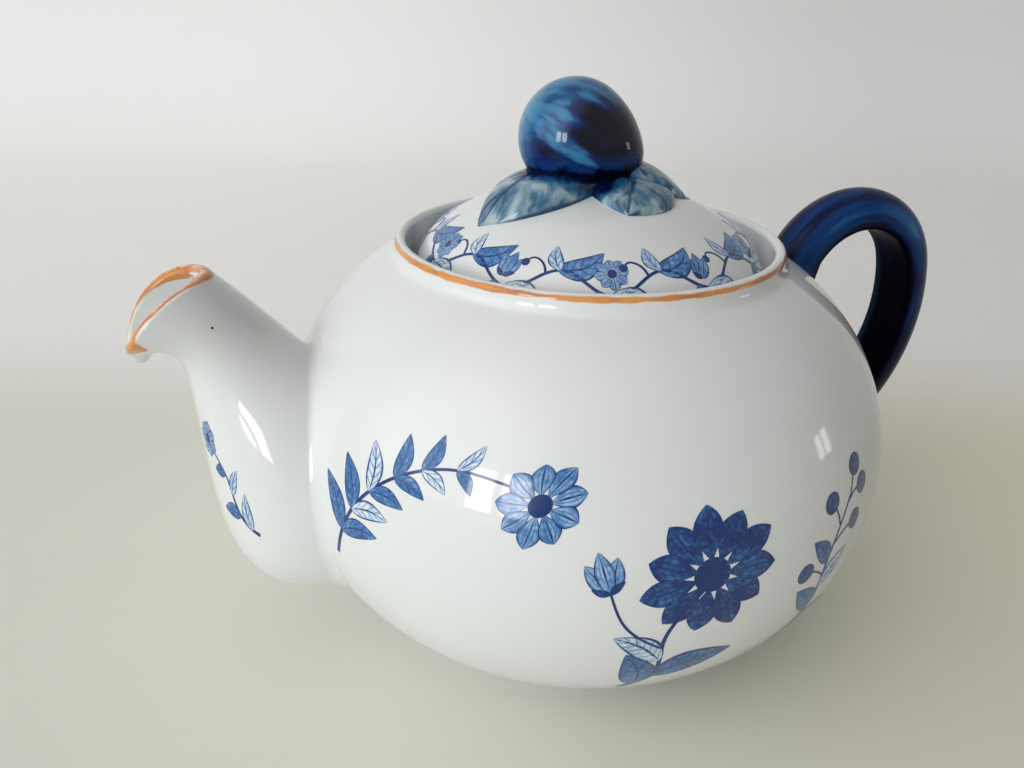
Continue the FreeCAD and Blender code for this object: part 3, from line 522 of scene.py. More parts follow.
crown_part = arc(crown, crown_round, rise_angle + 90, bearing(back, crown), 120)
back_part = arc(back, back_round, bearing(back, crown), bearing(back, tail), 120)
tail_part = arc(tail, tail_round, bearing(back, tail), tail_angle - 90, 60)
rise_way = np.array([math.cos(math.radians(rise_angle)), math.sin(math.radians(rise_angle))])
tail_way = np.array([math.cos(math.radians(tail_angle)), math.sin(math.radians(tail_angle))])
root_part = crown_part[0] + np.linspace(-root_length, 0, 80)[:-1, None] * rise_way
spur_part = tail_part[-1] - np.linspace(0, tail_length, 100)[1:, None] * tail_way
path = np.vstack([root_part, crown_part, back_part[1:], tail_part[1:], spur_part])
run = np.concatenate([[0], np.cumsum(np.linalg.norm(np.diff(path, axis=0), axis=1))])
flare = np.ones(len(path))
flare[:len(root_part)] = np.linspace(rod_flare, 1, len(root_part) + 1)[:-1]
flare[-len(spur_part):] = np.linspace(1, rod_flare, len(spur_part) + 1)[1:]


def rod_section():
    """The rod's outline: round outside, flat towards the belly, with the corners rounded."""
    across = math.sqrt((rod_round - rod_corner) ** 2 - (rod_flat - rod_corner) ** 2)
    corner = np.array([across, rod_corner - rod_flat])
    touch = bearing((0, 0), corner)
    half = np.vstack([arc((0, 0), rod_round, 90, touch, 26), arc(corner, rod_corner, touch, -90, 8)[1:]])
    flat = np.column_stack([np.linspace(across, 0, 7)[1:], np.full(6, -rod_flat)])
    right = np.vstack([half, flat])
    return np.vstack([right, right[-2:0:-1] * (-1, 1)])


section = rod_section()
ahead = unit(np.gradient(path, axis=0))
outer_way = np.column_stack([-ahead[:, 1], ahead[:, 0]])
rod = np.empty((len(path), len(section), 3))
rod[..., 0] = path[:, :1] + outer_way[:, :1] * section[:, 1] * flare[:, None]
rod[..., 1] = section[:, 0] * flare[:, None]
rod[..., 2] = path[:, 1:] + outer_way[:, 1:] * section[:, 1] * flare[:, None]
outside = above_belly(rod)[0]
middle_sample = len(path) // 2
rod_start = first_past(outside[:middle_sample], -root_sink)
rod_end = len(path) - 1 - first_past(outside[middle_sample:][::-1], -root_sink)
share = np.concatenate([np.linspace(0, 0.08, 16), np.linspace(0.08, 0.92, 130)[1:-1],
                        np.linspace(0.92, 1, 16)])
at = rod_start + (rod_end - rod_start) * share[:, None]
rings = read_along(rod, at)
heading = read_along(np.gradient(rod, axis=0), at)
around = np.roll(rings, -1, axis=1) - np.roll(rings, 1, axis=1)
outward = away_from_middle(np.cross(heading, around), rings)
rings = grown_from_belly(rings, heading, outward, rod_seam)
count = len(section)
caps = np.array([rings[0].mean(axis=0), rings[-1].mean(axis=0)])
height, up = above_belly(caps)
caps = caps - up * (height + rod_sink)[:, None]
points = np.vstack([rings.reshape(-1, 3), caps])
handle = make_piece("handle", points, [face[::-1] for face in closed_tube(len(rings), count)])
straight = np.empty((len(rings), count, 3))
straight[..., 0] = np.interp(at, np.arange(len(run)), run)
straight[..., 1:] = section[None]
mark(handle, "brush", np.vstack([straight.reshape(-1, 3), [(0, 0, 0), (run[-1], 0, 0)]]))


def kept(tree, name):
    """The three numbers kept on each point of a piece."""
    held = put(tree, "Attribute", out=1, attribute_name=name)
    return put(tree, "SeparateXYZ", held).node.outputs


def brushed_cobalt(tree, place, white):
    """Dark cobalt in long strokes, lighter over the crown, with painted shade darker down the back of the rod
    and near black on the flat. A paler teal strip runs along the flat's far edge.
    """
    brush = put(tree, "Attribute", out=1, attribute_name="brush")
    down, over, out = kept(tree, "brush")
    long_way = put(tree, "VectorMath", brush, (0.03, 0.15, 0.15), operation="MULTIPLY")
    short_way = put(tree, "VectorMath", brush, (0.06, 0.7, 0.7), operation="MULTIPLY")
    stroke = grain(long_way, 1.0, 3.0, 0.5, 0.4)
    fine = grain(short_way, 1.0, 3.0)
    flat = fade(out, -0.9, -2.3)
    dry_and_shade = plus(times(stroke, 0.82), times(fine, 0.18))
    # Painted shade: darker down the back of the rod, from 56 mm along it.
    dry_and_shade = less(dry_and_shade, times(fade(down, 56.0, 92.0), 0.14))
    # Painted shade: near black on the flat that faces the belly.
    dry_and_shade = less(dry_and_shade, times(flat, 0.15))
    deep = blend(fade(dry_and_shade, 0.3, 0.5), hue(2, 2, 12), hue(7, 18, 58))
    thin = blend(fade(dry_and_shade, 0.45, 0.6), deep, hue(18, 56, 110))
    pale = blend(fade(dry_and_shade, 0.58, 0.74), thin, hue(48, 104, 152))
    edge = times(flat, fade(plus(over, fine), 4.0, 6.4))
    return blend(times(edge, 0.8), pale, hue(22, 52, 72))


def handle_shine(tree, place):
    """Little on the back of the rod and hardly any on the flat, so that the dark paint and the painted shade
    there stay dark.
    """
    return put(tree, "MapRange", kept(tree, "brush")[2], -2.0, 0.0, 0.012, 0.1)


handle.data.materials.append(glazed("brushed_cobalt_glaze", brushed_cobalt, 0.24, handle_shine))
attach(handle, "pot")
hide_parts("handle")

# Lid: a turned dome that drops on to the ledge inside the lip. A collar under it keeps it in place, and a
# small hole at the back lets air in as the tea runs out.
lid_radius, lid_top, shoulder_round, lid_wall = 43.6, 117.2, 17.0, 4.0
collar_out, collar_in, collar_low = 39.2, 36.0, 81.7
vent_place, vent_radius, vent_cut = (0.0, 24.0), 2.0, (100, 125)
shoulder_centre = (lid_radius - shoulder_round, seat_height)
lid_rise = lid_top - seat_height
dome_round = (shoulder_centre[0] ** 2 + lid_rise ** 2 - shoulder_round ** 2)
dome_round = dome_round / (2 * (lid_rise - shoulder_round))
dome_centre = (0.0, lid_top - dome_round)
shoulder_angle = bearing(dome_centre, shoulder_centre)
vault_end = math.degrees(math.acos(collar_in / (dome_round - lid_wall)))
lid_outline = np.vstack([
    [(0, lid_top - lid_wall)],
    arc(dome_centre, dome_round - lid_wall, 89, vault_end, 24),
    softened([(collar_in, 96.0), (collar_in, collar_low, 1.0), (collar_out, collar_low, 1.0),
              (collar_out, seat_height, 0.4), (lid_radius, seat_height, 0.8),
              (lid_radius, seat_height + 1.6)])[1:-1],
    arc(shoulder_centre, shoulder_round, 4.5, shoulder_angle, 30),
    arc(dome_centre, dome_round, shoulder_angle, 89.5, 44)[1:],
    [(0, lid_top)]])
lid = make_piece("lid", *turned(lid_outline, 256))
drill(lid, [(vent_place, vent_radius)], *vent_cut, 2)
mark(lid, "paint", np.full(len(lid.data.vertices), unpainted))
lid.data.materials.append(white_glaze)
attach(lid, "lid")
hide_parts("lid")

# Fruit knob: a plum pressed in a mould and stuck on the lid for a grip. It dips towards its narrow end and
# is painted with curved strokes of cobalt, pale on one side and nearly black on the other.
fruit_length, blunt_round, point_round, plum_side = 31.0, 13.6, 9.5, 22.0
fruit_tilt, fruit_turn, fruit_shift, fruit_lift = 28.0, -25.0, 4.4, 10.1
spread = fruit_length - blunt_round - point_round
side_x = ((plum_side - blunt_round) ** 2 - (plum_side - point_round) ** 2 + spread ** 2) / (2 * spread)
side_at = (side_x, -math.sqrt((plum_side - blunt_round) ** 2 - side_x ** 2))
blunt_end, point_start = bearing(side_at, (0, 0)), bearing(side_at, (spread, 0))
plum = np.vstack([arc((0, 0), blunt_round, 180, blunt_end, 40),
                  arc(side_at, plum_side, blunt_end, point_start, 16)[1:],
                  arc((spread, 0), point_round, point_start, 0, 32)[1:]])
points, faces = turned(plum[:, ::-1], 128)
points = points[:, [2, 0, 1]]
brush = points.copy()
tilt = Matrix.Rotation(math.radians(fruit_turn), 3, "Z") @ Matrix.Rotation(math.radians(fruit_tilt), 3, "Y")
stand = (-fruit_shift * math.cos(math.radians(fruit_turn)), -fruit_shift * math.sin(math.radians(fruit_turn)),
         lid_top + fruit_lift)
points = points @ np.array(tilt).T + stand


def sunk_to_dome(points, sink):
    """Lifts what lies under the lid's dome to just below it."""
    off = points - (0, 0, dome_centre[1])
    far = np.linalg.norm(off, axis=1)
    rest = dome_round - sink
    return np.where((far < rest)[:, None], off / far[:, None] * rest + (0, 0, dome_centre[1]), points)


fruit_knob = make_piece("fruit_knob", sunk_to_dome(points, 0.3), faces)
mark(fruit_knob, "brush", brush)


def painted_fruit(tree, place, white):
    """Broad strokes that run from the dark narrow end and taper off on the pale blunt end, with painted shade
    near black along the bottom, where the fruit sits on the leaves.
    """
    along, over, up = kept(tree, "brush")
    ring = put(tree, "VectorMath", put(tree, "CombineXYZ", 0.0, over, up), operation="NORMALIZE")
    lean = put(tree, "VectorMath", ring, put(tree, "CombineXYZ", times(along, 0.02)))
    broad = wobble(lean, 2.8, 0.5)
    fine = wobble(lean, 6.0, 2.0, 0.5)
    smear = wobble(place, 120.0, 3.0, 0.55, 1.2)
    reach = plus(along, times(broad, 62.0))
    reach = plus(reach, times(fine, 8.0))
    reach = plus(reach, times(smear, 6.0))
    shade = plus(fine, times(smear, 1.3))
    thin = blend(fade(shade, -0.26, 0.26), hue(50, 122, 164), hue(12, 66, 122))
    thin = blend(fade(along, -9.5, -13.6), thin, hue(74, 134, 166))
    wash = blend(fade(reach, -7.5, -0.5), thin, hue(10, 38, 100))
    dark = blend(fade(smear, -0.02, 0.24), hue(3, 4, 22), hue(12, 18, 76))
    body = blend(fade(reach, -2.0, 4.0), wash, dark)
    height = put(tree, "MapRange", put(tree, "SeparateXYZ", place, out=2), 0.12, 0.13, 0.0, 10.0)
    height = plus(height, times(smear, 5.0))
    run = times(fade(reach, -2.0, 4.0), 0.5)
    run = times(fade(height, 6.0, 2.6), run)
    low = blend(run, body, hue(26, 72, 146))
    # Painted shade: near black along the bottom, where the fruit sits on the leaves.
    return blend(fade(height, 2.2, 0.9), low, hue(4, 6, 26))


def fruit_shine(tree, place):
    """Full above and little underneath, so that the dark paint and painted shade there show no pale floor."""
    return put(tree, "MapRange", put(tree, "SeparateXYZ", place, out=2), 0.1225, 0.1285, 0.06, 0.42)


fruit_knob.data.materials.append(glazed("painted_fruit_glaze", painted_fruit, 0.03, fruit_shine))
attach(fruit_knob, "lid")
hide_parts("fruit_knob")

# Leaves: three leaves cut from a rolled sheet of clay, laid on the dome round the fruit and pressed down at
# the edges. Their veins are drawn with a pointed tool, then brushed with thin cobalt.
leaf_puff, leaf_least, leaf_sink, leaf_crease = 24.0, 0.3, 0.4, math.radians(85)
vein_count, vein_lean, rib_width, rib_depth, vein_depth = 4.4, 1.1, 0.45, 0.35, 0.14
leaf_sizes = {"leaf_left": (-169.0, 4.0, 31.4, 22.0, 0.5, 13.5, 5.4),
              "leaf_front": (-119.0, 8.0, 19.2, 20.5, 10.0, 6.0, 3.4),
              "leaf_right": (-16.0, 3.0, 25.0, 17.0, 1.0, 6.0, 6.0)}


def washed_leaf(tree, place, white):
    """A thin uneven blue wash with the edge and a few veins in darker strokes. It turns dark blue beside the
    fruit and near black right by it, which is painted shade where the leaves pass under the fruit.
    """
    along, across, near = kept(tree, "brush")
    side = sums("ABSOLUTE", across)
    shake = wobble(place, 260.0, 3.0)
    patch = wobble(place, 105.0, 3.0)
    lean = less(times(along, vein_count), times(side, vein_lean))
    strokes = put(tree, "CombineXYZ", times(lean, 2.6), times(across, 1.2))
    streak = wobble(strokes, 1.0, 3.0, 0.6, 0.4)
    edge = fade(plus(side, times(patch, 0.12)), 0.84, 0.92)
    rib = fade(plus(side, times(shake, 0.16)), 0.1, 0.03)
    phase = sums("FRACT", plus(lean, times(shake, 0.3)))
    phase = sums("ABSOLUTE", less(phase, 0.5))
    veins = times(fade(phase, 0.13, 0.04), fade(patch, -0.1, 0.06))
    drawn = most(edge, most(times(rib, 0.9), veins))
    wash = plus(times(patch, 0.9), times(streak, 0.6))
    pale = blend(fade(wash, -0.22, 0.1), hue(166, 188, 192), hue(48, 102, 136))
    pale = blend(times(drawn, 0.92), pale, hue(16, 56, 94))
    rough = plus(patch, times(plus(shake, streak), 0.35))
    close = plus(near, times(rough, 11.0))
    # Dark blue beside the fruit, and near black right by it as painted shade under the fruit.
    middle = blend(fade(close, 5.2, 2.8), pale, hue(26, 84, 128))
    return blend(fade(close, 3.0, 1.0), middle, hue(7, 14, 52))


def sheet_faces(rows, columns, first=0):
    """Faces of a thin sheet: a grid of points, the same grid again under it, and the edge between the two."""
    under = rows * columns
    number = np.arange(under).reshape(rows, columns) + first
    quads = np.stack([number[:-1, :-1], number[1:, :-1], number[1:, 1:], number[:-1, 1:]], axis=-1)
    quads = quads.reshape(-1, 4)
    border = np.concatenate([number[0, :-1], number[:-1, -1], number[-1, :0:-1], number[:0:-1, 0]])
    on = np.roll(border, -1)
    walls = np.column_stack([border, on, on + under, border + under])
    return quads.tolist() + (quads[:, ::-1] + under).tolist() + walls.tolist()


leaf_glaze = glazed("washed_leaf_glaze", washed_leaf, 0.09)
for name, (way, heel, tip, width, aside, crest_at, thick) in leaf_sizes.items():
    along, across = np.meshgrid(np.linspace(0, 1, 72), np.linspace(-1, 1, 49), indexing="ij")
    length = tip + heel
    bow = (length ** 2 / 4 + width ** 2 / 4) / width
    off = (along - 0.5) * length
    half = np.sqrt(np.maximum(bow ** 2 - off ** 2, 0)) - (bow - width / 2)
    x, y = along * length - heel, aside + across * np.maximum(half, 0.05)
    dome = dome_centre[1] + np.sqrt(dome_round ** 2 - x ** 2 - y ** 2)
    top = np.array([crest_at, aside, math.sqrt(dome_round ** 2 - crest_at ** 2 - aside ** 2)])
    ball = top * (dome_round + thick - leaf_puff) / dome_round + (0, 0, dome_centre[1])
    rise = ball[2] + np.sqrt(np.maximum(leaf_puff ** 2 - (x - ball[0]) ** 2 - (y - ball[1]) ** 2, 1)) - dome
    groove = np.exp(-(across * half / rib_width) ** 2) * rib_depth
    phase = along * vein_count - vein_lean * np.abs(across)
    groove = groove + vein_depth * np.exp(-((phase % 1 - 0.5) / 0.07) ** 2) * (np.abs(across) < 0.9)
    edge_drop = 0.9 * np.clip((np.abs(across) - 0.8) / 0.2, 0, 1) ** 2
    rise = np.maximum(rise - groove - edge_drop, leaf_least)
    upper = np.stack([x, y, dome + rise], axis=-1)
    lower = np.stack([x, y, dome - leaf_sink], axis=-1)
    spin = np.array(Matrix.Rotation(math.radians(way), 3, "Z"))
    points = np.vstack([upper.reshape(-1, 3), lower.reshape(-1, 3)]) @ spin.T
    leaf = make_piece(name, points, sheet_faces(*along.shape))
    leaf.data.set_sharp_from_angle(angle=leaf_crease)
    gap = np.linalg.norm(points - stand, axis=1) - blunt_round
    if name == "leaf_front":
        # Painted shade: the dark by the fruit runs further out over one half of this leaf, the half of its
        # fold that lies in shade.
        gap = gap - 2.0 * (np.tile(across.ravel(), 2) < 0)
    # The top stops short of the drawn edge, so that the edge's dark line lies low on the leaf's wall.
    drawn_across = np.concatenate([across.ravel() * 0.75, across.ravel()])
    veins = np.column_stack([np.tile(along.ravel(), 2), drawn_across, gap])
    mark(leaf, "brush", veins)
    leaf.data.materials.append(leaf_glaze)
    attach(leaf, "lid")
    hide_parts(name)

# Belly print: leafy sprays, daisies and berry twigs in cobalt, printed from tissue under the glaze. Each
# shape is a skin of colour thinner than the glaze and curved to the belly.
print_lift, print_sink, print_step, print_steps = 0.05, 0.2, 0.0012, 40
stem_steps = 60


class Print:
    """Shapes drawn in flat millimetres and laid on a curved side as closed skins of colour."""

    def __init__(self):
        self.points, self.faces, self.drawn, self.shapes = [], [], [], 0

    def lay(self, side, flat, rib, hatch, tone):
        """Lays one shape, a grid of flat places, each with how far it is from the rib, its hatching and its
        tone. A shape lies a little higher than the one before, so that no two share a face."""
        rows, columns = flat.shape[:2]
        self.faces += sheet_faces(rows, columns, len(self.points))
        lift = print_lift + print_step * (self.shapes % print_steps)
        for out in (lift, -print_sink):
            self.points += side(flat, out).reshape(-1, 3).tolist()
        marks = [np.broadcast_to(given, (rows, columns)).ravel() for given in (rib, hatch, tone)]
        self.drawn += np.tile(np.column_stack(marks), (2, 1)).tolist()
        self.shapes += 1

    def finish(self, name, glaze, body):
        piece = make_piece(name, self.points, self.faces)
        piece.data.set_sharp_from_angle(angle=crease)
        mark(piece, "drawn", self.drawn)
        piece.data.materials.append(glaze)
        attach(piece, body)
        return piece


def turned_to(flat, way, foot):
    way = math.radians(way)
    spin = np.array([[math.cos(way), math.sin(way)], [-math.sin(way), math.cos(way)]])
    return flat @ spin + np.asarray(foot)


def draw_leaf(sheet, side, foot, way, length, width, tone, bow=0.08, fullness=0.8, long_lines=False):
    """A leaf or petal from its foot to its tip. A full one is widest near the tip."""
    along, across = np.meshgrid(np.linspace(0, 1, 22), np.linspace(-1, 1, 7), indexing="ij")
    half = width / 2 * np.sin(math.pi * along ** fullness) ** 0.85 + 0.05
    flat = np.stack([along * length, bow * length * np.sin(math.pi * along) + across * half], axis=-1)
    hatch = across * 2.6 + 0.5 if long_lines else along * length / 1.9 - np.abs(across) * 1.3
    sheet.lay(side, turned_to(flat, way, foot), np.abs(across), hatch, tone)


def draw_stem(sheet, side, knots, start, end):
    """A stem through its knots, thinner towards its end. Gives back places along it and its way there."""
    knots = np.array(knots, float)
    run = np.concatenate([[0], np.cumsum(np.linalg.norm(np.diff(knots, axis=0), axis=1))])
    places = through(run, knots, np.linspace(0, run[-1], stem_steps + 1))
    ahead = unit(np.gradient(places, axis=0))
    aside = np.column_stack([-ahead[:, 1], ahead[:, 0]])
    half = np.linspace(start, end, stem_steps + 1) / 2
    half = half[:, None, None] * np.array([-1.0, 0.0, 1.0])[None, :, None]
    sheet.lay(side, places[:, None] + aside[:, None] * half, 0.5, 0.5, 0.92)
    return places, np.degrees(np.arctan2(ahead[:, 1], ahead[:, 0]))


def draw_berry(sheet, side, middle, radius, tone):
    over, up = np.meshgrid(np.linspace(-1, 1, 11), np.linspace(-1, 1, 11), indexing="ij")
    flat = np.stack([over * np.sqrt(1 - up ** 2 / 2), up * np.sqrt(1 - over ** 2 / 2)], axis=-1)
    rib = np.linalg.norm(flat, axis=-1) * 0.86 + 0.14
    sheet.lay(side, flat * radius + np.asarray(middle), rib, 0.5, tone)


def draw_daisy(sheet, side, middle, radius, petals, tone, spin=0.0):
    for number in range(petals):
        way = spin + 360 * number / petals
        foot = np.asarray(middle) + turned_to(np.array([[0.2 * radius, 0]]), way, (0, 0))[0]
        width = 2 * math.pi * 0.72 * radius / petals * 1.04
        draw_leaf(sheet, side, foot, way, (0.8 + 0.05 * math.sin(number * 2.3)) * radius, width, tone,
                  0.02, 1.35, True)
    draw_berry(sheet, side, middle, 0.27 * radius, 0.98)


def draw_bud(sheet, side, foot, way, length, tone):
    for lean in (-24, 24, 0):
        draw_leaf(sheet, side, foot, way + lean, length * (1.0 if lean == 0 else 0.86), length * 0.42, tone,
                  0.0, 0.95, True)
    for lean in (-58, 58):
        draw_leaf(sheet, side, foot, way + lean, length * 0.42, length * 0.18, 0.9, 0.05)


def on_belly(turn, height, lean=0.0):
    """Where flat places fall on the belly, from a bearing round it and a height along its side."""
    def place(flat, out):
        spun = turned_to(flat, lean, (0, 0))
        up = height + spun[..., 1]
        centre = np.where(up > 0, high_centre, low_centre)
        way = up / (belly_radius - centre)
        reach = centre + (belly_radius - centre + out) * np.cos(way)
        bearing_there = math.radians(turn) + spun[..., 0] / (centre + (belly_radius - centre) * np.cos(way))
        rise = belly_height + (belly_radius - centre + out) * np.sin(way)
        return np.stack([reach * np.cos(bearing_there), reach * np.sin(bearing_there), rise], axis=-1)
    return place


def fern_spray(sheet, side, flip=1):
    """An arching stem with leaflets in pairs and a daisy at its end."""
    knots = [(0, 0), (9 * flip, 13), (21 * flip, 22), (35 * flip, 25), (46 * flip, 22)]
    places, ways = draw_stem(sheet, side, knots, 1.0, 0.5)
    for number, share in enumerate((0.16, 0.29, 0.42, 0.55, 0.68, 0.8)):
        spot = int(share * stem_steps)
        for hand in (1, -1):
            size = (13.5 - 1.3 * number) * (1.0 if hand == flip else 0.86)
            draw_leaf(sheet, side, places[spot], ways[spot] + hand * 52, size, size * 0.4,
                      0.66 if (number + hand) % 3 else 0.14, -0.1 * hand)
    draw_daisy(sheet, side, places[-1] + (6 * flip, -4), 8.6, 9, 0.5, 12)


def berry_twig(sheet, side, flip=1):
    """A twig with leaves by turns and berries on stalks."""
    places, ways = draw_stem(sheet, side, [(0, 0), (3 * flip, 13), (1 * flip, 27), (6 * flip, 42)], 1.1, 0.5)
    for number, share in enumerate((0.12, 0.3, 0.48, 0.64)):
        spot = int(share * stem_steps)
        hand = 1 if number % 2 else -1
        size = 14.5 - 1.6 * number
        draw_leaf(sheet, side, places[spot], ways[spot] + hand * 48, size, size * 0.46,
                  0.72 if number % 2 else 0.16, -0.08 * hand)
    stalks = ((0.56, 62, 8.0), (0.74, -50, 9.0), (0.84, 58, 7.5), (0.95, -38, 7.0), (1.0, 14, 6.0))
    for share, way, reach in stalks:
        spot = int(share * stem_steps)
        heading = math.radians(ways[spot] + way * flip)
        end = places[spot] + reach * np.array([math.cos(heading), math.sin(heading)])
        knee = (places[spot] + end) / 2 + (0.0, 0.8)
        draw_stem(sheet, side, [places[spot], knee, end], 0.5, 0.4)
        draw_berry(sheet, side, end, 2.5, 0.7)


def daisy_stem(sheet, side, flip=1):
    """One large daisy over broad leaves, with a bud beside it."""
    places, ways = draw_stem(sheet, side, [(0, 0), (5 * flip, 12), (4 * flip, 25), (10 * flip, 38)], 1.2, 0.7)
    for share, hand, size, tone in ((0.1, 1, 17, 0.72), (0.26, -1, 19, 0.72), (0.46, 1, 14, 0.15)):
        spot = int(share * stem_steps)
        draw_leaf(sheet, side, places[spot], ways[spot] + hand * 46 * flip, size, size * 0.48, tone,
                  -0.1 * hand * flip)
    fork = places[34]
    knots = [fork, fork + (-9 * flip, 7), fork + (-13 * flip, 15)]
    twig, twig_ways = draw_stem(sheet, side, knots, 0.7, 0.5)
    draw_bud(sheet, side, twig[-1], twig_ways[-1], 9.5, 0.42)
    draw_daisy(sheet, side, places[-1] + (1 * flip, 3), 14.5, 11, 0.86, 4)


def inked(tree, place, white):
    """Engraved lines and washes of cobalt, which bleed a little into the glaze."""
    rib, hatch, tone = kept(tree, "drawn")
    bleed = wobble(place, 900.0, 3.0)
    rib = plus(rib, times(bleed, 0.22))
    line = most(fade(rib, 0.72, 0.92), fade(rib, 0.14, 0.04))
    phase = sums("ABSOLUTE", less(sums("FRACT", hatch), 0.5))
    phase = plus(phase, times(bleed, 0.16))
    stripes = fade(phase, 0.2, 0.06)
    cloud = put(tree, "MapRange", grain(place, 160.0, 3.0), 0.3, 0.7, -0.14, 0.14)
    wash = plus(tone, times(plus(cloud, bleed), 0.8))
    hatched = plus(times(stripes, 0.4), times(wash, 0.62))
    ink = most(most(wash, times(line, 0.95)), hatched)
    pale = blend(fade(ink, 0.02, 0.3), white, hue(160, 193, 222))
    middle = blend(fade(ink, 0.25, 0.66), pale, hue(62, 117, 176))
    return blend(fade(ink, 0.6, 0.96), middle, hue(14, 48, 110))


ink_glaze = glazed("printed_cobalt_glaze", inked)
belly_print = Print()
fern_spray(belly_print, on_belly(-157, -8, 10))
daisy_stem(belly_print, on_belly(-104, -36, -4))
berry_twig(belly_print, on_belly(-73, -30, -8))
fern_spray(belly_print, on_belly(-34, -26, 34))
berry_twig(belly_print, on_belly(38, -34, 10), -1)
daisy_stem(belly_print, on_belly(78, -44, 6), -1)
fern_spray(belly_print, on_belly(146, -12, -6), -1)
belly_print.finish("belly_print", ink_glaze, "pot")

# Spout print: a small twig of the same print at the foot of the spout, on either side.
spout_ahead = unit(np.gradient(skin, axis=0))
spout_round = unit(np.roll(skin, -1, axis=1) - np.roll(skin, 1, axis=1))
spout_out = away_from_middle(np.cross(spout_round, spout_ahead), skin)


def on_spout(turn, share, lean=0.0):
    """Where flat places fall on the spout, from a turn round it and a share of its length."""
    middle_row, middle_column = share * (len(skin) - 1), turn / 360 * spout_count
    row, column = int(middle_row), int(middle_column) % spout_count
    row_step = np.linalg.norm(skin[row + 1, column] - skin[row, column])
    column_step = np.linalg.norm(skin[row, (column + 1) % spout_count] - skin[row, column])

    def place(flat, out):
        spun = turned_to(flat, lean, (0, 0))
        down = np.clip(middle_row + spun[..., 1] / row_step, 0, len(skin) - 2)
        over = (middle_column + spun[..., 0] / column_step) % spout_count
        low, left = np.floor(down).astype(int), np.floor(over).astype(int) % spout_count
        next_left = (left + 1) % spout_count
        part, side = (down - low)[..., None], (over - np.floor(over))[..., None]

        def read(grid):
            return (grid[low, left] * (1 - side) + grid[low, next_left] * side) * (1 - part) \
                + (grid[low + 1, left] * (1 - side) + grid[low + 1, next_left] * side) * part
        return read(skin) + unit(read(spout_out)) * out
    return place


def small_twig(sheet, side, flip=1):
    places, ways = draw_stem(sheet, side, [(0, 0), (4 * flip, 7), (5 * flip, 15), (10 * flip, 22)], 0.9, 0.4)
    for number, share in enumerate((0.1, 0.3, 0.5, 0.7)):
        spot = int(share * stem_steps)
        hand = 1 if number % 2 else -1
        draw_leaf(sheet, side, places[spot], ways[spot] + hand * 50, 8.5 - number, 3.8 - 0.3 * number,
                  0.68 if number % 2 else 0.2, -0.08 * hand)
    draw_daisy(sheet, side, places[-1] + (1.5 * flip, 2.5), 4.6, 7, 0.4, 9)


spout_print = Print()
small_twig(spout_print, on_spout(236, 0.36, 0), -1)
small_twig(spout_print, on_spout(124, 0.36, 0), 1)
spout_print.finish("spout_print", ink_glaze, "pot")

# Lid print: a running vine round the shoulder of the lid, with a leaf at each bend, berries and daisies.
border_height, border_waves, border_swing = 12.2, 11, 2.7
border_reach = shoulder_centre[0] + shoulder_round * math.cos(border_height / shoulder_round)


def on_lid(flat, out):
    """Where flat places fall on the lid's shoulder and dome, from the lid's edge up."""
    up = border_height + flat[..., 1]
    turn_end = math.radians(shoulder_angle)
    past = turn_end + (up - turn_end * shoulder_round) / dome_round
    low = up < turn_end * shoulder_round
    way = np.where(low, up / shoulder_round, past)
    reach = np.where(low, shoulder_centre[0] + (shoulder_round + out) * np.cos(way),
                     (dome_round + out) * np.cos(way))
    rise = np.where(low, shoulder_centre[1] + (shoulder_round + out) * np.sin(way),
                    dome_centre[1] + (dome_round + out) * np.sin(way))
    turn = flat[..., 0] / border_reach
    return np.stack([reach * np.cos(turn), reach * np.sin(turn), rise], axis=-1)


lid_print = Print()
wave = 2 * math.pi * border_reach / border_waves
for number in range(border_waves):
    start = number * wave
    over = np.linspace(0, wave, 9)
    vine = np.column_stack([start + over, border_swing * np.sin(over / wave * 2 * math.pi)])
    draw_stem(lid_print, on_lid, vine, 0.7, 0.7)
    draw_leaf(lid_print, on_lid, (start + wave * 0.2, border_swing), 26, 12.0, 5.8, 0.62, -0.16)
    draw_leaf(lid_print, on_lid, (start + wave * 0.24, border_swing), 108, 7.0, 3.6, 0.18, 0.12)
    draw_leaf(lid_print, on_lid, (start + wave * 0.7, -border_swing), -26, 11.0, 5.2, 0.16, 0.16)
    draw_leaf(lid_print, on_lid, (start + wave * 0.6, -border_swing * 0.6), -74, 8.0, 4.0, 0.66, -0.12)
    curl = [(start + wave * 0.1, border_swing * 0.6), (start + wave * 0.04, 4.2), (start - wave * 0.08, 5.2),
            (start - wave * 0.14, 3.8)]
    draw_stem(lid_print, on_lid, curl, 0.6, 0.4)
    draw_berry(lid_print, on_lid, curl[-1], 1.0, 0.8)
    if number % 2:
        draw_daisy(lid_print, on_lid, (start + wave * 0.74, 2.4), 3.9, 8, 0.45, 10)
    else:
        draw_bud(lid_print, on_lid, (start + wave * 0.68, -0.4), 80, 6.6, 0.5)
lid_print.finish("lid_print", ink_glaze, "lid")

# Stage: a pale table top that runs up into a pale wall, daylight from a window at the left, a smaller one far
# off at the right, and soft light from the room. Table and wall carry painted shade, darker towards the
# right. What lies past the table is an even pale backdrop.
bpy.ops.object.select_all(action="DESELECT")
table_front, table_back, wall_round, wall_top, half_width = -1.3, 0.62, 0.14, 2.0, 2.0
table_away, table_aside = (0.342, 0.94, 0.0), (0.94, -0.342, 0.0)
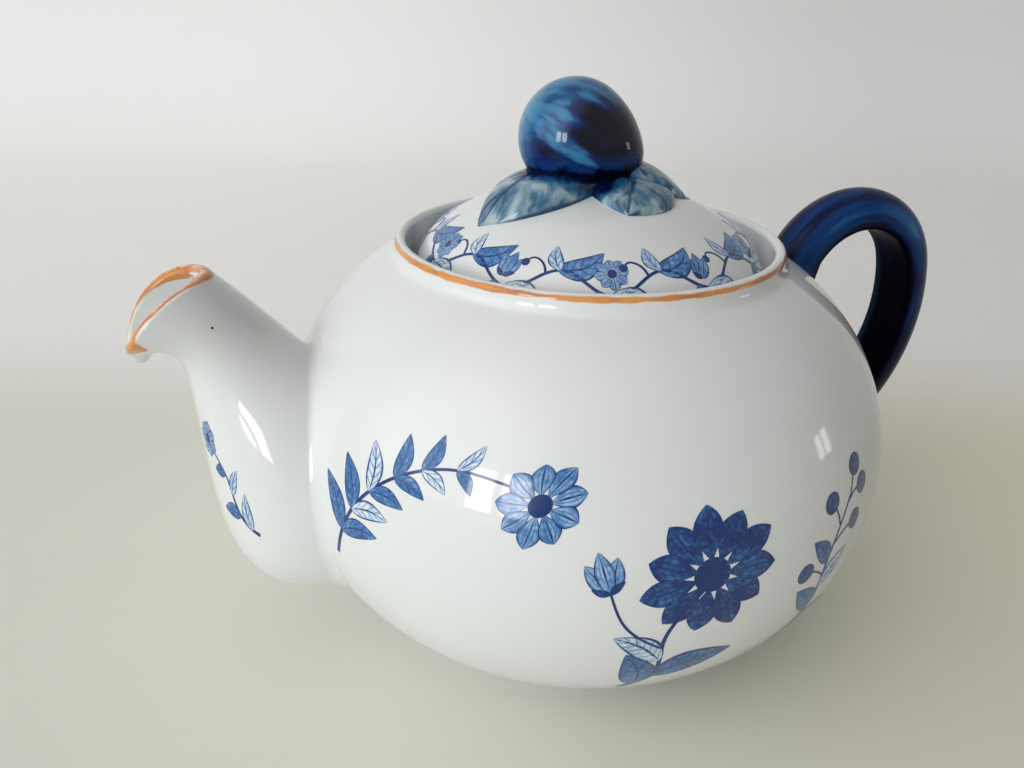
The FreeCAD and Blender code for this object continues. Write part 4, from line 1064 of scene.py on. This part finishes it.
# The point where the curve starts is there twice, so that the table top is shaded flat.
sweep = np.vstack([[(table_front, 0.0), (table_back, 0.0)],
                   arc((table_back, wall_round), wall_round, -90, 0, 18),
                   [(table_back + wall_round, wall_top)]])
sweep_points = np.vstack([np.column_stack([np.full(len(sweep), side), sweep])
                          for side in (-half_width, half_width)])
sweep_turn = np.array(Matrix.Rotation(math.radians(-20.0), 3, "Z"))
sweep_faces = [(i, i + 1, i + 1 + len(sweep), i + len(sweep)) for i in range(len(sweep) - 1)]
floor = make_piece("floor", sweep_points @ sweep_turn.T * 1000, [face[::-1] for face in sweep_faces])
paper = bpy.data.materials.new("pale_table")
paper.use_nodes = True
tree = paper.node_tree
spot = put(tree, "TexCoord", out=3)
tone = blend(grain(spot, 9.0, 3.0), hue(231, 231, 220), hue(235, 235, 225))
away = put(tree, "VectorMath", spot, table_away, operation="DOT_PRODUCT", out=1)
aside = put(tree, "VectorMath", spot, table_aside, operation="DOT_PRODUCT", out=1)
# Painted shade: the table top is darker and warmer towards the right, away from the window.
tone = blend(fade(aside, -0.05, 0.2), tone, hue(217, 215, 196))
# Painted shade: the wall is darker towards the right, away from the window.
plaster = blend(fade(aside, -0.3, 0.4), hue(252, 252, 251), hue(226, 226, 225))
tone = blend(fade(away, 0.07, 0.2), tone, plaster)
tree.links.new(tone, tree.nodes["Principled BSDF"].inputs["Base Color"])
tree.nodes["Principled BSDF"].inputs["Roughness"].default_value = 0.6
floor.data.materials.append(paper)


def lamp(name, place, target, width, height, power):
    """A flat lamp of that size, turned to a target."""
    data = bpy.data.lights.new(name, "AREA")
    data.shape = "RECTANGLE"
    data.size, data.size_y, data.energy = width, height, power
    light = bpy.data.objects.new(name, data)
    bpy.context.collection.objects.link(light)
    light.location = place
    light.rotation_euler = (Vector(target) - Vector(place)).to_track_quat("-Z", "Y").to_euler()


pane_pitch, pot_middle = 1.35, Vector((0, 0, 0.07))


def window(name, middle, width, height, power):
    """Two panes of daylight side by side, with the bar between them left dark."""
    way = (pot_middle - Vector(middle)).normalized()
    side = way.cross(Vector((0, 0, 1))).normalized()
    for number, share in enumerate((-0.5, 0.5)):
        pane = Vector(middle) + side * share * width * pane_pitch
        lamp(f"{name}_{number}", pane, pane + way, width, height, power)


window("near_window", (-0.94, -0.79, 0.25), width=0.19, height=0.4, power=1.8)
window("far_window", (1.1, -0.42, 0.14), width=0.06, height=0.17, power=0.11)

backdrop = 0.42
world = bpy.data.worlds.new("room")
bpy.context.scene.world = world
world.use_nodes = True
tree = world.node_tree
way = put(tree, "TexCoord")


def glow_from(side, edge, strength):
    """Soft light that grows from its edge to full strength in the middle of one side of the room."""
    facing = put(tree, "VectorMath", way, side, operation="DOT_PRODUCT", out=1)
    return put(tree, "MapRange", facing, edge, 1.0, 0.0, strength, interpolation_type="SMOOTHSTEP")


room = glow_from((-0.86, -0.34, 0.38), 0.3, 0.44)
curtain = glow_from((-0.9, -0.28, 0.33), 0.7, 1.6)
ceiling = glow_from((-0.194, -0.145, 0.97), 0.6, 0.68)
glow = plus(plus(room, curtain), ceiling)
seen = most(put(tree, "LightPath", out="Is Camera Ray"), put(tree, "LightPath", out="Is Glossy Ray"))
seen = most(seen, put(tree, "LightPath", out="Is Transmission Ray"))
glow = most(glow, times(seen, backdrop))
above = fade(put(tree, "SeparateXYZ", way, out=2), 0.4, 0.9)
daylight = blend(above, hue(246, 249, 252), hue(254, 249, 243))
tree.links.new(daylight, tree.nodes["Background"].inputs["Color"])
tree.links.new(glow, tree.nodes["Background"].inputs["Strength"])

camera_data = bpy.data.cameras.new("camera")
camera = bpy.data.objects.new("camera", camera_data)
bpy.context.collection.objects.link(camera)
camera_data.sensor_width, camera_data.lens = 36.0, 30.23
right, over = Vector((0.9422, -0.3345, 0.0199)), Vector((0.1246, 0.4048, 0.9059))
ahead = Vector((0.3111, 0.851, -0.4231))
turn = Matrix((right, over, -ahead)).transposed().to_4x4()
camera.matrix_world = Matrix.Translation((-0.0889, -0.1906, 0.1601)) @ turn
camera_data.clip_start = 0.01
bpy.context.scene.camera = camera
bpy.context.scene.view_settings.view_transform = "Standard"
